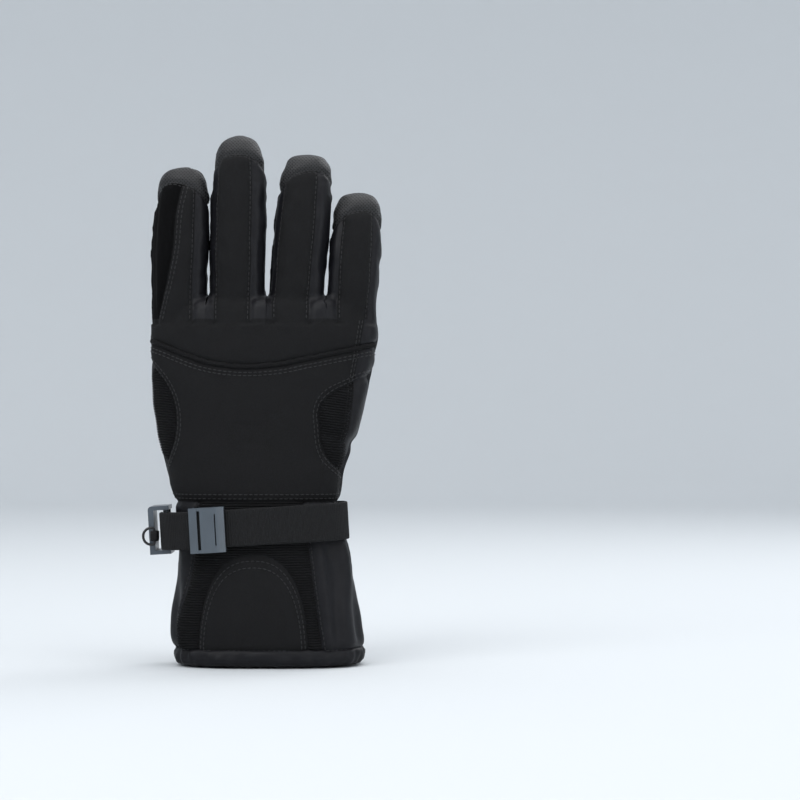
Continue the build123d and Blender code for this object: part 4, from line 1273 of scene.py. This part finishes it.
def make_straps(settings):
    """The wrist strap, the return layer through the adjuster, and the webbing tabs."""
    right, left = 46.0, -49.6
    path = [(right - 7.0, 9.0), (right - 1.6, 1.0), *arc(right - CORNER, STRAP_V + CORNER, CORNER, 0, -90),
            *arc(left + CORNER, STRAP_V + CORNER, CORNER, -90, -172), (left - 0.6, -7.0)]
    strap = webbing("strap_webbing", path, 1.6, settings)
    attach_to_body(strap, "glove")
    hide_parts("wrist_strap")
    outer = -54.1
    back = [(outer + 0.2, -5.0), *arc(outer + CORNER + 1.5, STRAP_V - 2.0 + CORNER + 1.5, CORNER + 1.5, 188,
                                      270), (-31.0, STRAP_V - 2.0)]
    loop = webbing("return_webbing", back, 1.6, settings)
    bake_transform(loop)
    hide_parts("strap_return")
    for name in ("buckle_anchor", "ring_tab"):
        first, last = low(name), high(name)
        middle, half = (first + last) / 2, (last - first) / 2
        rings = []
        for z, shrink in ((-1.0, 0.9), (-0.94, 0.98), (-0.5, 1.0), (0.5, 1.0), (0.94, 0.98), (1.0, 0.9)):
            rings.append(ring_points(middle[0], middle[1], middle[2] + z * half[2], half[0] * shrink,
                                     half[1] * shrink, 5.0, 32))
        tab = make_object(f"webbing_{name}", *tube(rings), MATERIALS["webbing"])
        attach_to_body(tab, "glove")
        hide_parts(name)


def make_hardware(settings):
    """Finishes the moulded adjuster, the side buckle and the wire ring."""
    for name, finish_name in (("strap_adjuster", "buckle_plastic"), ("side_buckle", "buckle_plastic"),
                              ("clip_ring", "ring_metal")):
        obj = frame["nodes"][name]
        obj.data.materials.clear()
        obj.data.materials.append(MATERIALS[finish_name])


# ------------------------------------------------------------------------ studio
def make_studio(settings):
    """Pale seamless backdrop, soft lights and the camera."""
    backdrop = bpy.data.materials.new("backdrop")
    backdrop.use_nodes = True
    shader = backdrop.node_tree.nodes["Principled BSDF"]
    shader.inputs["Base Color"].default_value = (*settings.backdrop_colour, 1.0)
    shader.inputs["Roughness"].default_value = 0.9
    turn = np.linspace(0.0, 2 * math.pi, 96, endpoint=False)
    bowl = [(2200.0, 0.0), *((2200.0 + 900.0 * math.sin(t), 900.0 - 900.0 * math.cos(t))
                             for t in np.linspace(0.1, math.pi / 2, 10)),
            (3100.0, 2600.0)]
    rings = [np.stack([radius * np.cos(turn), radius * np.sin(turn), np.full(96, rise - 1.0)], 1) for radius,
             rise in bowl]
    points, faces = tube(rings, close_high=False)
    floor = make_object("backdrop", points, [tuple(reversed(face)) for face in faces], backdrop)
    for name, place, power, size in (("key", (-0.9, -1.3, 1.5), 34.0, 1.3),
                                     ("fill", (1.2, -1.2, 0.6), 16.0, 1.5),
                                     ("top", (0.1, 0.0, 1.9), 22.0, 1.4), ("behind", (0.9, 0.9, 1.1), 12.0,
                                             0.9)):
        light = bpy.data.lights.new(name, "AREA")
        light.energy, light.size = power * settings.light, size
        lamp = bpy.data.objects.new(name, light)
        bpy.context.scene.collection.objects.link(lamp)
        lamp.location = place
        lamp.rotation_euler = (Vector((0.0, 0.0, 0.14)) - Vector(place)).to_track_quat("-Z", "Y").to_euler()
    world = bpy.data.worlds.new("studio_air")
    world.use_nodes = True
    world.node_tree.nodes["Background"].inputs["Color"].default_value = (0.93, 0.96, 1.0, 1.0)
    world.node_tree.nodes["Background"].inputs["Strength"].default_value = settings.air
    bpy.context.scene.world = world
    bpy.context.scene.view_settings.view_transform = "Standard"
    lens = bpy.data.cameras.new("camera")
    lens.lens, lens.sensor_width = settings.lens, 36.0
    camera = bpy.data.objects.new("camera", lens)
    bpy.context.scene.collection.objects.link(camera)
    camera.location = (0.0744, -0.428 * settings.lens / 36.0 + HAND_Y * MM - 0.02, 0.1423)
    camera.rotation_euler = (math.radians(90.0), 0.0, 0.0)
    bpy.context.scene.camera = camera


# ----------------------------------------------------------------------- add-on
def length(label, text, value, low_value, high_value):
    """A length property in metres."""
    return bpy.props.FloatProperty(name=label, description=text, default=value, min=low_value,
                                   max=high_value, unit="LENGTH",
                                   precision=5)


def shade(label, text, value):
    """A grey level property."""
    return bpy.props.FloatProperty(name=label, description=text, default=value, min=0.0, max=1.0,
                                   subtype="FACTOR")


class GloveSettings(bpy.types.PropertyGroup):
    """Sizes and finishes of the glove."""
    cell: length("Cloth cell", "Size of the cells the skin is rebuilt from", 0.00125, 0.0008, 0.004)
    cloth: length("Cloth thickness", "Thickness of the outer cloth", 0.0009, 0.0003, 0.003)
    seam_depth: length("Seam depth", "How far a seam draws the cloth in", 0.0011, 0.0, 0.003)
    puff: length("Puff", "How far the padding swells the cloth between seams", 0.0014, 0.0, 0.004)
    folds: length("Folds", "Height of the soft folds", 0.0017, 0.0, 0.004)
    padding_depth: length("Padding", "Thickness of the padding", 0.0018, 0.001, 0.006)
    pitch: length("Stitch pitch", "Distance from one stitch to the next", 0.0027, 0.001, 0.006)
    thread: length("Thread", "Thickness of the sewing thread", 0.0006, 0.0001, 0.001)
    rib: length("Rib pitch", "Distance between the ribs of the knit", 0.00135, 0.0008, 0.003)
    web_rib: length("Webbing rib", "Distance between the ribs of the webbing", 0.00125, 0.0005, 0.003)
    piping: length("Piping radius", "Radius of the knuckle piping", 0.0013, 0.0005, 0.003)
    grip_pitch: bpy.props.FloatProperty(name="Grip pitch",
                                        description="Distance between grip dots in millimetres", default=1.33)
    shell_shade: shade("Softshell shade", "Grey of the stretch cloth", 0.0085)
    nylon_shade: shade("Nylon shade", "Grey of the nylon", 0.0048)
    suede_shade: shade("Suede shade", "Grey of the suede", 0.0035)
    grip_shade: shade("Grip shade", "Grey of the grip cloth", 0.019)
    knit_shade: shade("Knit shade", "Grey of the rib knit", 0.008)
    webbing_shade: shade("Webbing shade", "Grey of the webbing", 0.009)
    thread_shade: shade("Thread shade", "Grey of the thread", 0.017)
    buckle_colour: bpy.props.FloatVectorProperty(name="Buckle", description="Colour of the moulded parts",
                                                 subtype="COLOR",
                                                 default=(0.066, 0.082, 0.1))
    backdrop_colour: bpy.props.FloatVectorProperty(
        name="Backdrop", description="Colour of the floor and wall",
        subtype="COLOR", default=(0.6, 0.625, 0.645))
    light: bpy.props.FloatProperty(name="Light", description="Strength of all the lamps", default=0.5,
                                   min=0.0)
    air: bpy.props.FloatProperty(name="Air", description="Strength of the even light", default=1.1, min=0.0)
    lens: bpy.props.FloatProperty(name="Lens", description="Focal length of the camera", default=120.0,
                                  min=20.0, unit="CAMERA")


def operator(name, label, text, work):
    """An operator class that runs one maker and reports a failure as an error."""
    def execute(self, context):
        work(context.scene.glove_settings)
        return {"FINISHED"}

    return type(f"GLOVE_OT_{name}", (bpy.types.Operator,), {
        "__doc__": text, "bl_idname": f"glove.{name}", "bl_label": label, "bl_options": {"REGISTER",
                "UNDO"}, "execute": execute})


STEPS = (
    operator("materials", "Make finishes", "Makes every finish of the glove", make_materials),
    operator("shell", "Sew shell", "Builds the outer cloth panel by panel", make_shell),
    operator("stitching", "Stitch", "Sews the seams and lays the rib knit", make_stitching),
    operator("inside", "Fill", "Puts in the padding, fleece, elastic and webs", make_inside),
    operator("hem", "Bind hem", "Rolls the binding round the cuff mouth", make_hem),
    operator("straps", "Thread straps", "Lays the webbing straps and tabs", make_straps),
    operator("hardware", "Finish hardware", "Paints the buckle, adjuster and ring", make_hardware),
    operator("studio", "Set studio", "Adds the backdrop, lamps and camera", make_studio),
)


class GLOVE_PT_panel(bpy.types.Panel):
    """Sidebar panel with the glove's settings and steps."""
    bl_label = "Ski Glove"
    bl_idname = "GLOVE_PT_panel"
    bl_space_type = "VIEW_3D"
    bl_region_type = "UI"
    bl_category = "Ski Glove"

    def draw(self, context):
        settings = context.scene.glove_settings
        for name in settings.bl_rna.properties.keys():
            if name not in ("rna_type", "name"):
                self.layout.prop(settings, name)
        for step in STEPS:
            self.layout.operator(step.bl_idname)


CLASSES = (GloveSettings, *STEPS, GLOVE_PT_panel)


def register():
    """Adds the classes and the settings to Blender."""
    for each in CLASSES:
        bpy.utils.register_class(each)
    bpy.types.Scene.glove_settings = bpy.props.PointerProperty(type=GloveSettings)


def unregister():
    """Takes them out again."""
    del bpy.types.Scene.glove_settings
    for each in reversed(CLASSES):
        bpy.utils.unregister_class(each)


def main():
    """Builds everything in order, then writes the sizes before and after."""
    register()
    for step in STEPS:
        group, name = step.bl_idname.split(".")
        result = getattr(getattr(bpy.ops, group), name)()
        if result != {"FINISHED"}:
            raise RuntimeError(f"{step.bl_idname} didn't finish")


if __name__ == "__main__":
    main()
